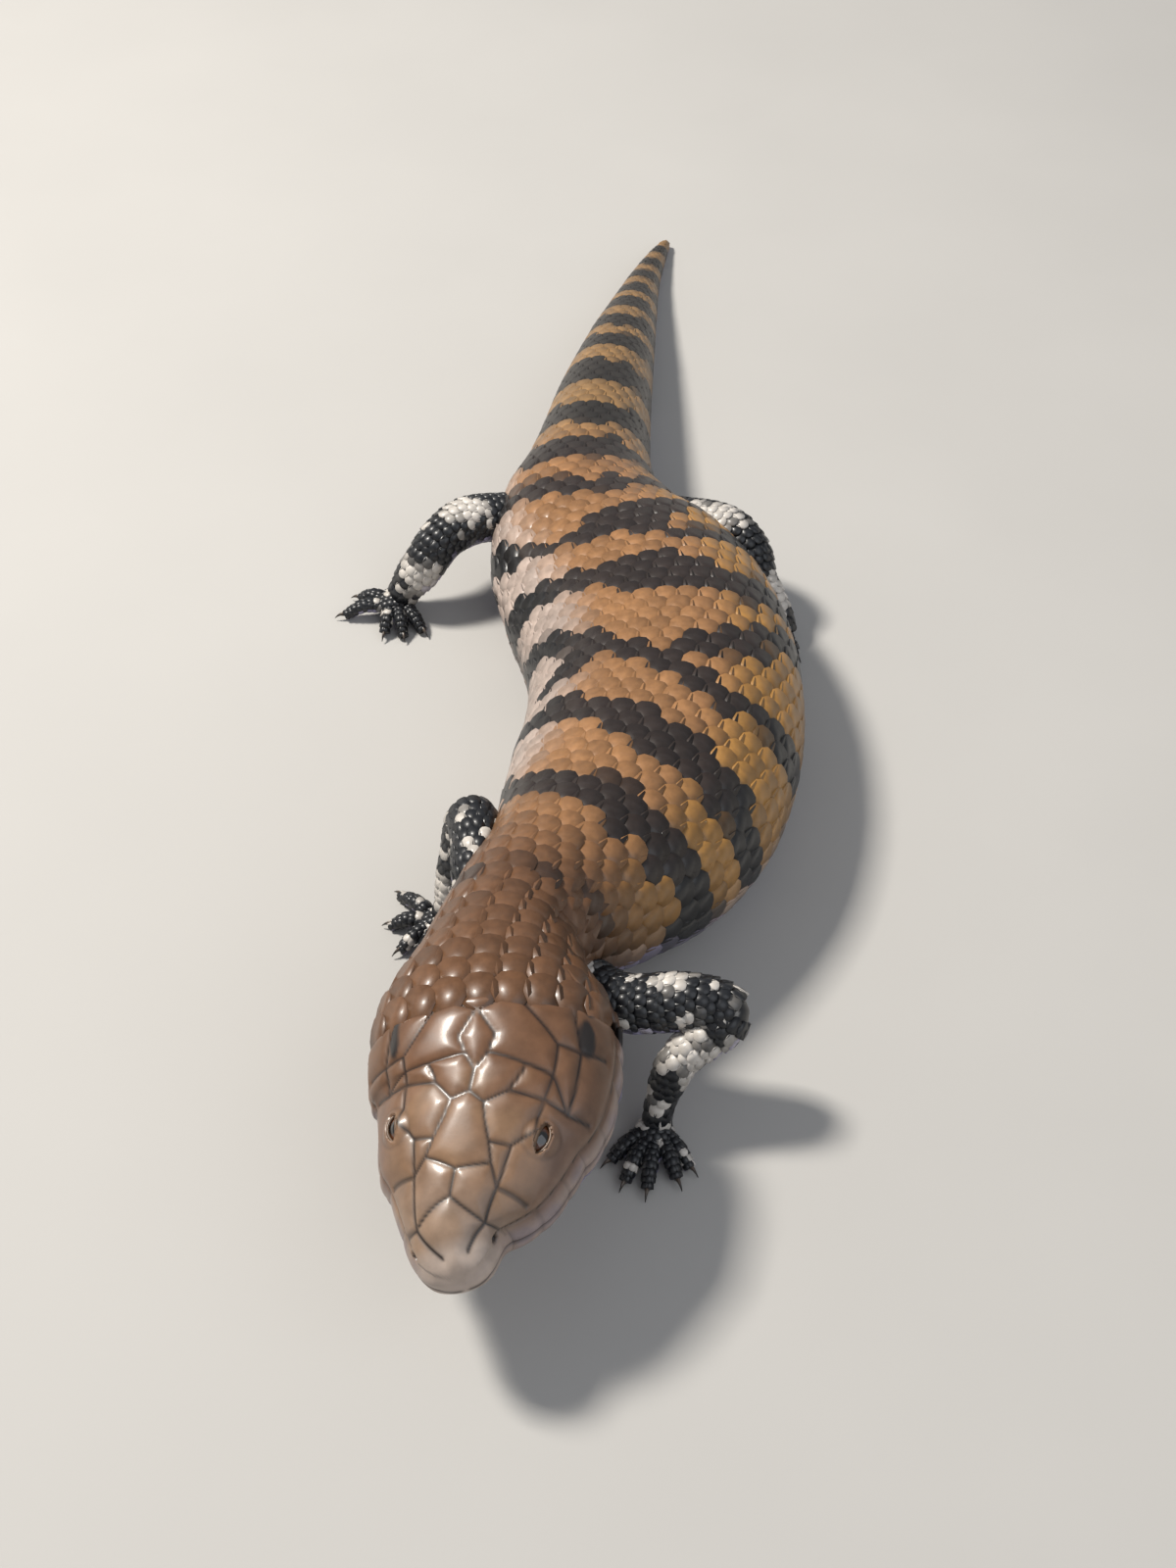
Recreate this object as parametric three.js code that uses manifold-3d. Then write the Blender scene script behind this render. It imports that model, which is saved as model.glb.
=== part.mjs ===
// A life-size young blue tongued skink, standing still with its head raised.
// Millimetres, +Z up. The snout points along -Y and the tail along +Y, and the belly, feet and tail
// lie on Z = 0.
import * as THREE from "three";
import { mergeVertices } from "three/addons/utils/BufferGeometryUtils.js";
import Module from "manifold-3d";

const wasm = await Module();
wasm.setup();

// Driving dimensions
const HEAD_LENGTH = 28.8;
const CUT = 0.3; // the gap that parts neighbouring solids
const EYE_RADIUS = 1.5;
const SNOUT_ROUNDING = 10;
const SNOUT_SQUARENESS = 2.2;
const UPPER_SQUARENESS = 2.05;
const LOWER_SQUARENESS = 2.5;
const MOUTH_ANGLE = 97; // degrees from the crown, round the side of a section
const MOUTH_LENGTH = 18;
const MOUTH_DEPTH = 0.35;
const ORIGIN = { x: -0.67, y: 0.23 }; // the middle of the animal's outline on the floor

// Stations along the back: place on the floor plan, half width, heights of the back, widest line and belly,
// and the degrees by which the section leans, its left side up
const STATIONS = [
  { at: "snout", x: -7.4, y: -76.5, half: 4.7, top: 14.6, mid: 10.7, low: 8.3, roll: 9 },
  { at: "nostrils", x: -8.1, y: -72.8, half: 4.8, top: 15.5, mid: 10.9, low: 8.1, roll: 9 },
  { at: "muzzle", x: -7.3, y: -68.8, half: 7.0, top: 16.6, mid: 11.1, low: 8.0, roll: 9 },
  { at: "eyes", x: -6.6, y: -65.2, half: 8.2, top: 17.8, mid: 11.4, low: 7.7, roll: 9 },
  { at: "brow", x: -5.8, y: -61.5, half: 9.5, top: 18.9, mid: 11.7, low: 7.5, roll: 9 },
  { at: "jaw", x: -5.7, y: -57.2, half: 10, top: 19.8, mid: 12.1, low: 7.4, roll: 9 },
  { at: "temple", x: -5.7, y: -53.2, half: 9.4, top: 20.2, mid: 12.5, low: 7.4, roll: 7 },
  { at: "nape", x: -5.5, y: -49.6, half: 7.5, top: 20.0, mid: 12.8, low: 7.5, roll: 5 },
  { at: "neck", x: -4.9, y: -45.2, half: 6.1, top: 19.3, mid: 12.6, low: 7.2, roll: 3 },
  { at: "collar", x: -2.9, y: -40.7, half: 6.7, top: 18.5, mid: 11.2, low: 5.4, roll: 1 },
  { at: "shoulder", x: 0.4, y: -36, half: 8.5, top: 17.9, mid: 9.4, low: 3.0, roll: 0 },
  { at: "chest", x: 3.6, y: -30.5, half: 10.7, top: 17.5, mid: 7.9, low: 0.8, roll: 0 },
  { at: "ribs", x: 6.4, y: -24, half: 12.2, top: 17.2, mid: 7.3, low: -0.3, roll: 0 },
  { at: "flank", x: 8.4, y: -16.5, half: 12.6, top: 16.9, mid: 7.0, low: -0.5, roll: 0 },
  { at: "middle", x: 8.9, y: -9, half: 12.6, top: 16.6, mid: 6.9, low: -0.5, roll: 0 },
  { at: "paunch", x: 8.0, y: -2, half: 12.7, top: 16.1, mid: 6.7, low: -0.5, roll: 0 },
  { at: "loin", x: 5.6, y: 5, half: 12.4, top: 15.3, mid: 6.4, low: -0.4, roll: 0 },
  { at: "waist", x: 2.7, y: 11.5, half: 10.9, top: 14.2, mid: 6.1, low: -0.2, roll: 0 },
  { at: "hip", x: 1.3, y: 18, half: 8.8, top: 13.1, mid: 5.9, low: 0.2, roll: 0 },
  { at: "vent", x: 1.6, y: 24.5, half: 6.7, top: 12, mid: 5.4, low: 0.1, roll: 0 },
  { at: "tail root", x: 2.3, y: 31, half: 5.7, top: 11, mid: 4.9, low: -0.2, roll: 0 },
  { at: "tail fore", x: 3.3, y: 39, half: 5.0, top: 9.7, mid: 4.4, low: -0.3, roll: 0 },
  { at: "tail middle", x: 4.4, y: 46, half: 4.3, top: 8.4, mid: 3.8, low: -0.3, roll: 0 },
  { at: "tail rear", x: 5.5, y: 52.5, half: 3.6, top: 7, mid: 3.2, low: -0.3, roll: 0 },
  { at: "tail thin", x: 6.8, y: 59.5, half: 2.7, top: 5.3, mid: 2.4, low: -0.25, roll: 0 },
  { at: "tail whip", x: 8.3, y: 67, half: 1.75, top: 3.5, mid: 1.6, low: -0.2, roll: 0 },
  { at: "tail end", x: 9.9, y: 73, half: 1.05, top: 2.1, mid: 0.95, low: -0.15, roll: 0 },
  { at: "tail tip", x: 11.2, y: 77, half: 0.5, top: 1.1, mid: 0.5, low: -0.1, roll: 0 },
];
const REACH = [0];
for (let i = 1; i < STATIONS.length; i++) {
  const a = STATIONS[i - 1];
  const b = STATIONS[i];
  REACH.push(REACH[i - 1] + Math.hypot(b.x - a.x, b.y - a.y));
}
const BODY_LENGTH = REACH[REACH.length - 1];

// A smooth value of one named size at a distance from the snout
function sizeAt(key, along) {
  const s = THREE.MathUtils.clamp(along, 0, BODY_LENGTH);
  let i = 0;
  while (i < REACH.length - 2 && s > REACH[i + 1]) i++;
  const slope = (k) => {
    const a = Math.max(k - 1, 0);
    const b = Math.min(k + 1, REACH.length - 1);
    return (STATIONS[b][key] - STATIONS[a][key]) / (REACH[b] - REACH[a]);
  };
  const span = REACH[i + 1] - REACH[i];
  const t = (s - REACH[i]) / span;
  const t2 = t * t;
  const t3 = t2 * t;
  return (
    STATIONS[i][key] * (2 * t3 - 3 * t2 + 1) +
    slope(i) * span * (t3 - 2 * t2 + t) +
    STATIONS[i + 1][key] * (3 * t2 - 2 * t3) +
    slope(i + 1) * span * (t3 - t2)
  );
}

// The level direction that points to the animal's left across the body
function acrossAt(along) {
  const step = 0.5;
  const dx = sizeAt("x", along + step) - sizeAt("x", along - step);
  const dy = sizeAt("y", along + step) - sizeAt("y", along - step);
  return new THREE.Vector2(dy, -dx).normalize();
}

const power = (value, exponent) => Math.sign(value) * Math.abs(value) ** exponent;

// How full the section is near the blunt ends of the snout and the tail
function endRounding(along) {
  const front = Math.max(0, 1 - along / SNOUT_ROUNDING);
  const rear = Math.max(0, 1 - (BODY_LENGTH - along) / 1.2);
  const snout = (1 - front ** SNOUT_SQUARENESS) ** (1 / SNOUT_SQUARENESS);
  return snout * Math.sqrt(1 - rear * rear);
}

// A point of the skin, or of a skin grown outwards: distance from the snout, and degrees round the section
// from the crown towards the left side
function skinPoint(along, degrees, grow = 0) {
  const angle = THREE.MathUtils.degToRad(degrees);
  const round = endRounding(along);
  const mid = sizeAt("mid", along);
  const cos = Math.cos(angle);
  const sin = Math.sin(angle);
  const edge = cos > 0 ? sizeAt("top", along) : sizeAt("low", along);
  const exponent = 2 / (cos > 0 ? UPPER_SQUARENESS : LOWER_SQUARENESS);
  const side = sizeAt("half", along) * round * power(sin, exponent) + grow * sin;
  const rise = (edge - mid) * round * Math.abs(cos) ** exponent + grow * cos;
  const roll = THREE.MathUtils.degToRad(sizeAt("roll", along));
  const outward = side * Math.cos(roll) - rise * Math.sin(roll);
  const height = mid + rise * Math.cos(roll) + side * Math.sin(roll);
  const across = acrossAt(along);
  return new THREE.Vector3(
    sizeAt("x", along) + across.x * outward,
    sizeAt("y", along) + across.y * outward,
    Math.max(height, -grow),
  );
}

// Solids from closed triangle meshes
function solidFrom(points, triangles) {
  return new wasm.Manifold(
    new wasm.Mesh({
      numProp: 3,
      vertProperties: new Float32Array(points.flatMap((p) => [p.x, p.y, p.z])),
      triVerts: new Uint32Array(triangles),
    }),
  );
}

function solidOf(geometry) {
  const bare = geometry.clone();
  bare.deleteAttribute("normal");
  bare.deleteAttribute("uv");
  const merged = mergeVertices(bare, 1e-4);
  return new wasm.Manifold(
    new wasm.Mesh({
      numProp: 3,
      vertProperties: merged.attributes.position.array,
      triVerts: new Uint32Array(merged.index.array),
    }),
  );
}

function geometryOf(solid) {
  const mesh = solid.getMesh();
  const positions = new Float32Array(mesh.numVert * 3);
  for (let i = 0; i < mesh.numVert; i++) {
    positions.set(mesh.vertProperties.subarray(i * mesh.numProp, i * mesh.numProp + 3), i * 3);
  }
  return new THREE.BufferGeometry()
    .setAttribute("position", new THREE.BufferAttribute(positions, 3))
    .setIndex(new THREE.BufferAttribute(mesh.triVerts, 1));
}

function largestOf(solid) {
  const bodies = solid.decompose();
  return bodies.reduce((best, body) => (body.volume() > best.volume() ? body : best));
}

const join = (solids) => solids.reduce((all, next) => all.add(next));

// A closed solid through rings of equal count, its two ends drawn to points
function loft(rings, first, last) {
  const points = [first, ...rings.flat(), last];
  const count = rings[0].length;
  const triangles = [];
  for (let k = 0; k < count; k++) {
    const next = (k + 1) % count;
    triangles.push(0, 1 + next, 1 + k);
    for (let r = 0; r + 1 < rings.length; r++) {
      const a = 1 + r * count;
      const b = a + count;
      triangles.push(a + k, a + next, b + k, a + next, b + next, b + k);
    }
    const end = 1 + (rings.length - 1) * count;
    triangles.push(points.length - 1, end + k, end + next);
  }
  const solid = solidFrom(points, triangles);
  return solid.volume() < 0 ? solidFrom(points, triangles.reverse()) : solid;
}

// A tapering round limb through a list of places, each with its own radius
function limb(places, sides, steps) {
  const curve = new THREE.CatmullRomCurve3(places.map((p) => new THREE.Vector3(...p.at)));
  const radiusAt = (t) => {
    const f = t * (places.length - 1);
    const i = Math.min(Math.floor(f), places.length - 2);
    const ease = THREE.MathUtils.smoothstep(f - i, 0, 1);
    return THREE.MathUtils.lerp(places[i].r, places[i + 1].r, ease);
  };
  const frames = curve.computeFrenetFrames(steps, false);
  const rings = [];
  for (let i = 0; i <= steps; i++) {
    const centre = curve.getPoint(i / steps);
    const radius = radiusAt(i / steps);
    const ring = [];
    for (let k = 0; k < sides; k++) {
      const angle = (2 * Math.PI * k) / sides;
      ring.push(
        centre
          .clone()
          .addScaledVector(frames.normals[i], radius * Math.cos(angle))
          .addScaledVector(frames.binormals[i], radius * Math.sin(angle)),
      );
    }
    rings.push(ring);
  }
  const tip = (i, way) =>
    curve.getPoint(i / steps).addScaledVector(frames.tangents[i], way * 0.6 * radiusAt(i / steps));
  return loft(rings, tip(0, -1), tip(steps, 1));
}

function ball(radii, place, detail = [16, 10], turn = new THREE.Euler()) {
  const geometry = new THREE.SphereGeometry(1, ...detail)
    .scale(...radii)
    .applyMatrix4(new THREE.Matrix4().makeRotationFromEuler(turn))
    .translate(place.x, place.y, place.z);
  return solidOf(geometry);
}

// The trunk from the snout to the tip of the tail as one skin
const MOUTH_HALF = 4;
function sectionAngles() {
  const right = [];
  const crownToMouth = 9;
  const upper = MOUTH_ANGLE - MOUTH_HALF;
  for (let k = 0; k <= crownToMouth; k++) right.push((upper * k) / crownToMouth);
  right.push(MOUTH_ANGLE);
  const mouthToChin = 6;
  const start = MOUTH_ANGLE + MOUTH_HALF;
  for (let k = 0; k < mouthToChin; k++) right.push(start + ((180 - start) * k) / mouthToChin);
  return [...right, 180, ...right.slice(1).reverse().map((a) => 360 - a)];
}

function skinRings() {
  const stops = [0.12, 0.45, 0.95, 1.6];
  for (let s = 2.4; s < HEAD_LENGTH; s += 0.95) stops.push(s);
  for (let s = HEAD_LENGTH + 0.6; s < BODY_LENGTH - 0.6; s += 3) stops.push(s);
  stops.push(BODY_LENGTH - 0.3);
  return stops;
}

function bodySkin(grow = 0) {
  const angles = sectionAngles();
  const rings = skinRings().map((along) =>
    angles.map((degrees) => {
      const point = skinPoint(along, degrees, grow);
      const fromMouth = Math.min(
        Math.abs(degrees - MOUTH_ANGLE),
        Math.abs(degrees - 360 + MOUTH_ANGLE),
      );
      if (fromMouth > 0.01 || along > MOUTH_LENGTH) return point;
      const fade = 1 - THREE.MathUtils.smoothstep(along, MOUTH_LENGTH - 3, MOUTH_LENGTH);
      const inward = new THREE.Vector3(
        sizeAt("x", along + 2) - point.x,
        sizeAt("y", along + 2) - point.y,
        0,
      ).normalize();
      return point.addScaledVector(inward, MOUTH_DEPTH * fade * endRounding(along));
    }),
  );
  return loft(rings, skinPoint(0, 0), skinPoint(BODY_LENGTH, 0));
}

// Head details on the left side for way = 1 and on the right for way = -1: eyes in lids, ear cups and
// nostrils
const EYE_ALONG = 10.6;
const EYE_ANGLE = 46;
const EYE_SINK = 1.2;
const LID = 0.5;

// A turn and place on the skin: x forward, y up the side and z outward
function seatAt(along, degrees, way) {
  const point = (s, d) => skinPoint(s, way > 0 ? d : 360 - d);
  const place = point(along, degrees);
  const forward = point(along - 0.6, degrees).sub(place).normalize();
  const up = point(along, degrees - 5).sub(place).normalize();
  const out = new THREE.Vector3().crossVectors(forward, up).multiplyScalar(-way).normalize();
  const upright = new THREE.Vector3().crossVectors(out, forward);
  return { place, out, basis: new THREE.Matrix4().makeBasis(forward, upright, out) };
}

function ballOn(seat, radii, lift, detail) {
  const geometry = new THREE.SphereGeometry(1, ...detail)
    .rotateX(Math.PI / 2)
    .scale(...radii)
    .translate(0, 0, lift)
    .applyMatrix4(seat.basis)
    .translate(seat.place.x, seat.place.y, seat.place.z);
  return solidOf(geometry);
}

function eyeParts(way) {
  const seat = seatAt(EYE_ALONG, EYE_ANGLE, way);
  const round = (radius) => ballOn(seat, [radius, radius, radius], -EYE_SINK, [16, 10]);
  const opening = ballOn(seat, [1.4, 0.9, 1.6], EYE_RADIUS + 0.5 - EYE_SINK, [14, 8]);
  return { lids: round(EYE_RADIUS + LID), socket: round(EYE_RADIUS + CUT), opening, eye: round(EYE_RADIUS) };
}

const earCup = (way) => ballOn(seatAt(21.8, 84, way), [0.85, 1.4, 1.1], 0, [12, 8]);
const nostril = (way) => ballOn(seatAt(2.7, 62, way), [0.42, 0.34, 0.6], 0, [10, 6]);

// The large shields of the crown. Each corner is a distance from the snout and a distance from the midline,
// measured over the skin, and a shield with pair set is repeated on the other side.
const SHIELD_RISE = 0.13;
const SHIELD_DOME = 0.1;
const SHIELD_SINK = 0.35;
const SHIELD_GAP = 0.13;
const SHIELD_STEP = 1.5;
const CORNERS = {
  rostral: [1.6, 1.0],
  nasal: [3.6, 2.8],
  muzzle: [5.1, 0],
  brow: [7.0, 0],
  browSide: [7.8, 2.6],
  canthus: [6.4, 3.4],
  orbitFront: [9.2, 2.2],
  orbitOuter: [9.3, 3.9],
  orbitSide: [10.8, 5.4],
  waist: [10.8, 1.6],
  crown: [12.0, 1.3],
  crownMiddle: [12.7, 0],
  orbitRear: [13.2, 2.9],
  orbitCorner: [13.4, 5.8],
  centre: [14.4, 0],
  temple: [15.3, 3.95],
  templeOuter: [15.0, 6.1],
  kiteFront: [15.9, 0.9],
  kiteSide: [17.4, 1.4],
  kiteRear: [19.5, 0.1],
  parietalOuter: [17.0, 6.3],
  parietalRear: [20.0, 3.6],
  parietalInner: [20.3, 1.7],
};
const SHIELDS = [
  { corners: ["rostral", "nasal", "muzzle"] },
  { corners: ["muzzle", "nasal", "canthus", "browSide", "brow"], pair: true },
  { corners: ["brow", "browSide", "orbitFront", "waist", "crown", "crownMiddle"] },
  {
    corners: ["orbitFront", "orbitOuter", "orbitSide", "orbitCorner", "orbitRear", "crown", "waist"],
    pair: true,
  },
  { corners: ["orbitRear", "orbitCorner", "templeOuter", "temple"], pair: true },
  { corners: ["crownMiddle", "crown", "orbitRear", "temple", "kiteFront", "centre"], pair: true },
  { corners: ["centre", "kiteFront", "kiteSide", "kiteRear"] },
  {
    corners: [
      "kiteRear",
      "kiteSide",
      "kiteFront",
      "temple",
      "templeOuter",
      "parietalOuter",
      "parietalRear",
      "parietalInner",
    ],
    pair: true,
  },
];

// The degrees round a section at which the skin is a given distance from the midline of the crown
function degreesAt(along, distance) {
  const step = 3;
  let run = 0;
  let last = skinPoint(along, 0);
  for (let degrees = step; degrees <= 180; degrees += step) {
    const next = skinPoint(along, degrees);
    const stride = next.distanceTo(last);
    if (run + stride >= Math.abs(distance)) {
      return Math.sign(distance) * (degrees - step + (step * (Math.abs(distance) - run)) / stride);
    }
    run += stride;
    last = next;
  }
  return Math.sign(distance) * 180;
}

function shieldOutline({ corners, pair }) {
  const half = corners.map((name) => new THREE.Vector2(...CORNERS[name]));
  const mirrored = half.filter((c) => c.y > 0.2).map((c) => new THREE.Vector2(c.x, -c.y));
  const outline = pair ? half : [...half, ...mirrored.reverse()];
  const middle = outline.reduce((sum, c) => sum.add(c), new THREE.Vector2()).divideScalar(outline.length);
  const reach = outline.reduce((sum, c) => sum + c.distanceTo(middle), 0) / outline.length;
  const points = [];
  outline.forEach((corner, i) => {
    const next = outline[(i + 1) % outline.length];
    const steps = Math.max(1, Math.round(corner.distanceTo(next) / SHIELD_STEP));
    for (let k = 0; k < steps; k++) points.push(corner.clone().lerp(next, k / steps));
  });
  const shrink = 1 - SHIELD_GAP / reach;
  return { middle, points: points.map((p) => p.sub(middle).multiplyScalar(shrink).add(middle)) };
}

function shield(plan, side) {
  const { middle, points } = shieldOutline(plan);
  const onSkin = (p, grow) => skinPoint(p.x, (360 + degreesAt(p.x, side * p.y)) % 360, grow);
  const ring = (scale, grow) =>
    points.map((p) => onSkin(p.clone().sub(middle).multiplyScalar(scale).add(middle), grow));
  const rings = [ring(1, -SHIELD_SINK), ring(1, SHIELD_RISE), ring(0.6, SHIELD_RISE + 0.7 * SHIELD_DOME)];
  return loft(rings, onSkin(middle, -SHIELD_SINK), onSkin(middle, SHIELD_RISE + SHIELD_DOME));
}

// Legs: each has an upper joint in the flank, then elbow or knee, wrist or ankle, and a foot flat on
// the floor
const TOE_RADIUS = 0.55;
const CLAW_LENGTH = 1.15;
const LEGS = [
  {
    name: "foreleg_left",
    joints: [
      { at: [-1.0, -43.8, 8.2], r: 2.5 },
      { at: [4.4, -48.2, 9.2], r: 2.3 },
      { at: [9.8, -49.2, 10.4], r: 2.3 },
      { at: [12.9, -50.0, 10.0], r: 2.1 },
      { at: [9.0, -52.6, 7.0], r: 1.5 },
      { at: [7.5, -54.4, 3.4], r: 1.0 },
      { at: [7.3, -55.2, 1.4], r: 1.1 },
    ],
    palm: { at: [7.1, -55.8, 1.1], size: [1.6, 1.9, 1.15], turn: 8 },
    toes: [
      { from: [6.1, -55.7], to: [3.4, -57.9], bow: 0.4 },
      { from: [6.4, -56.5], to: [4.6, -60.0], bow: 0.6 },
      { from: [7.0, -56.8], to: [6.4, -60.8], bow: 0.6 },
      { from: [7.7, -56.6], to: [8.9, -59.8], bow: 0.6 },
      { from: [8.0, -55.9], to: [10.0, -58.6], bow: 0.4 },
    ],
  },
  {
    name: "foreleg_right",
    joints: [
      { at: [-3.8, -38.6, 8.4], r: 2.5 },
      { at: [-7.4, -36.2, 9.6], r: 2.2 },
      { at: [-8.0, -31.6, 11.0], r: 2.2 },
      { at: [-8.6, -29.2, 10.6], r: 2.1 },
      { at: [-9.7, -30.6, 6.8], r: 1.75 },
      { at: [-10.6, -32.2, 3.2], r: 1.3 },
      { at: [-11.1, -32.6, 1.4], r: 1.1 },
    ],
    palm: { at: [-11.8, -32.8, 1.1], size: [1.6, 1.9, 1.15], turn: -50 },
    toes: [
      { from: [-11.3, -33.7], to: [-11.2, -36.3], bow: 0.3 },
      { from: [-12.0, -33.8], to: [-13.3, -36.6], bow: 0.5 },
      { from: [-12.6, -33.4], to: [-15.0, -35.3], bow: 0.5 },
      { from: [-13.0, -32.6], to: [-15.9, -32.4], bow: 0.5 },
      { from: [-12.6, -31.7], to: [-15.3, -29.0], bow: 0.4 },
    ],
  },
  {
    name: "hindleg_right",
    joints: [
      { at: [-0.6, 19.2, 6.0], r: 2.5 },
      { at: [-6.4, 17.1, 7.0], r: 2.25 },
      { at: [-10.6, 15.0, 8.0], r: 2.35 },
      { at: [-13.0, 13.0, 7.6], r: 2.1 },
      { at: [-15.2, 11.2, 5.2], r: 1.95 },
      { at: [-16.9, 10.7, 2.8], r: 1.45 },
      { at: [-17.4, 10.6, 1.5], r: 1.2 },
    ],
    palm: { at: [-18.0, 10.4, 1.15], size: [1.7, 2.3, 1.2], turn: -48 },
    toes: [
      { from: [-17.0, 9.5], to: [-15.2, 6.9], bow: 0.3 },
      { from: [-17.7, 9.0], to: [-17.1, 6.2], bow: 0.5 },
      { from: [-18.5, 9.0], to: [-19.0, 6.4], bow: 0.5 },
      { from: [-19.3, 9.8], to: [-23.2, 9.1], bow: 0.6 },
      { from: [-19.2, 10.9], to: [-21.8, 11.7], bow: 0.4 },
    ],
  },
  {
    name: "hindleg_left",
    joints: [
      { at: [4.6, 18.8, 6.0], r: 2.5 },
      { at: [10.4, 16.3, 7.1], r: 2.3 },
      { at: [15.2, 13.7, 8.1], r: 2.35 },
      { at: [17.6, 11.4, 7.5], r: 2.05 },
      { at: [18.9, 8.9, 5.2], r: 1.65 },
      { at: [20.6, 6.8, 3.0], r: 1.3 },
      { at: [21.2, 6.0, 1.5], r: 1.2 },
    ],
    palm: { at: [20.6, 5.2, 1.15], size: [1.6, 2.2, 1.2], turn: -8 },
    toes: [
      { from: [19.7, 4.9], to: [17.7, 3.5], bow: 0.2 },
      { from: [19.9, 4.2], to: [18.3, 1.5], bow: 0.4 },
      { from: [20.4, 3.9], to: [19.8, 0.2], bow: 0.5 },
      { from: [21.0, 4.0], to: [21.5, 0.7], bow: 0.5 },
      { from: [21.4, 4.9], to: [22.4, 3.1], bow: 0.3 },
    ],
  },
];

// A toe that arches up from the foot and comes down on its tip, with a hooked claw beyond
function toe({ from, to, bow }) {
  const start = new THREE.Vector3(from[0], from[1], 1.3);
  const end = new THREE.Vector3(to[0], to[1], TOE_RADIUS - 0.06);
  const middle = start.clone().lerp(end, 0.5);
  middle.z += bow;
  const places = [
    { at: start.toArray(), r: TOE_RADIUS * 1.25 },
    { at: middle.toArray(), r: TOE_RADIUS * 1.05 },
    { at: end.toArray(), r: TOE_RADIUS * 0.8 },
  ];
  const way = end.clone().sub(start).setZ(0).normalize();
  const clawRoot = end.clone().addScaledVector(way, -0.1).setZ(0.62);
  const clawMiddle = clawRoot.clone().addScaledVector(way, CLAW_LENGTH * 0.6).setZ(0.7);
  const clawTip = clawRoot.clone().addScaledVector(way, CLAW_LENGTH + 0.1).setZ(0.24);
  const claw = limb(
    [
      { at: clawRoot.toArray(), r: 0.36 },
      { at: clawMiddle.toArray(), r: 0.27 },
      { at: clawTip.toArray(), r: 0.1 },
    ],
    6,
    3,
  );
  return limb(places, 7, 4).add(claw);
}

function leg({ joints, palm, toes }) {
  const arm = limb(joints, 12, 18);
  const turn = new THREE.Euler(0, 0, THREE.MathUtils.degToRad(palm.turn));
  const foot = ball(palm.size, new THREE.Vector3(...palm.at), [12, 8], turn);
  const floor = solidOf(new THREE.BoxGeometry(80, 200, 10).translate(0, 0, -5));
  return join([arm, foot, ...toes.map(toe)]).subtract(floor);
}

// One skin, with the head's details worked into it
const skin = bodySkin();
const eyes = [1, -1].map(eyeParts);
let trunk = skin;
for (const { lids } of eyes) trunk = trunk.add(lids);
for (const plan of SHIELDS) {
  for (const side of plan.pair ? [1, -1] : [1]) trunk = trunk.add(shield(plan, side));
}
for (const { socket, opening } of eyes) trunk = trunk.subtract(socket).subtract(opening);
for (const way of [1, -1]) {
  trunk = trunk.subtract(earCup(way)).subtract(nostril(way));
}

const PARTS = [
  { name: "head", from: 0, to: 25.6 },
  { name: "neck", from: 25.6, to: 38.5 },
  { name: "torso_front", from: 38.5, to: 68 },
  { name: "torso_rear", from: 68, to: 106.5 },
  { name: "tail_base", from: 106.5, to: 125 },
  { name: "tail_middle", from: 125, to: 143 },
  { name: "tail_tip", from: 143, to: BODY_LENGTH },
];

// The slice of the skin between two places along it
function slice(solid, from, to) {
  const far = 40;
  let kept = solid;
  const cutAway = (along, way) => {
    const across = acrossAt(along);
    const geometry = new THREE.BoxGeometry(3 * far, 4 * far, 3 * far)
      .translate(0, way * (2 * far - CUT / 2), 0)
      .rotateZ(Math.atan2(across.y, across.x))
      .translate(sizeAt("x", along), sizeAt("y", along), sizeAt("mid", along));
    return solidOf(geometry);
  };
  if (from > 0) kept = kept.subtract(cutAway(from, -1));
  if (to < BODY_LENGTH) kept = kept.subtract(cutAway(to, 1));
  return largestOf(kept);
}

const group = new THREE.Group();
group.position.set(-ORIGIN.x, -ORIGIN.y, 0);
const finishes = {
  skin: new THREE.MeshStandardMaterial({ color: 0xa9825a, roughness: 0.45, metalness: 0 }),
  head: new THREE.MeshStandardMaterial({ color: 0x8a6a48, roughness: 0.35, metalness: 0 }),
  legs: new THREE.MeshStandardMaterial({ color: 0x2c2c2c, roughness: 0.45, metalness: 0 }),
  eyes: new THREE.MeshStandardMaterial({ color: 0x2a1408, roughness: 0.08, metalness: 0 }),
};
function addPart(name, solid, finish) {
  const mesh = new THREE.Mesh(geometryOf(solid), finishes[finish]);
  mesh.name = name;
  group.add(mesh);
}

for (const part of PARTS) {
  addPart(part.name, slice(trunk, part.from, part.to), part.name === "head" ? "head" : "skin");
}

// Each leg starts where it clears the skin of the flank by the width of a cut
const clearance = bodySkin(CUT);
for (const plan of LEGS) {
  addPart(plan.name, largestOf(leg(plan).subtract(clearance)), "legs");
}
addPart("eye_left", eyes[0].eye, "eyes");
addPart("eye_right", eyes[1].eye, "eyes");

export default group;
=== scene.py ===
# %% [markdown]
# A young blue tongued skink that stands still, made as a life-size model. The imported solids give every
# place and size. This script lays one skin over them, shapes the shields of the head in it, and lays the
# scales over it row by row, each a small closed plate that lies towards the tail. Scales could also be
# drawn in an image. Solid ones catch the light and throw their own shadows.

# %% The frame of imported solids
import math
import bpy
import numpy as np
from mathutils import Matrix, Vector, noise


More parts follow.
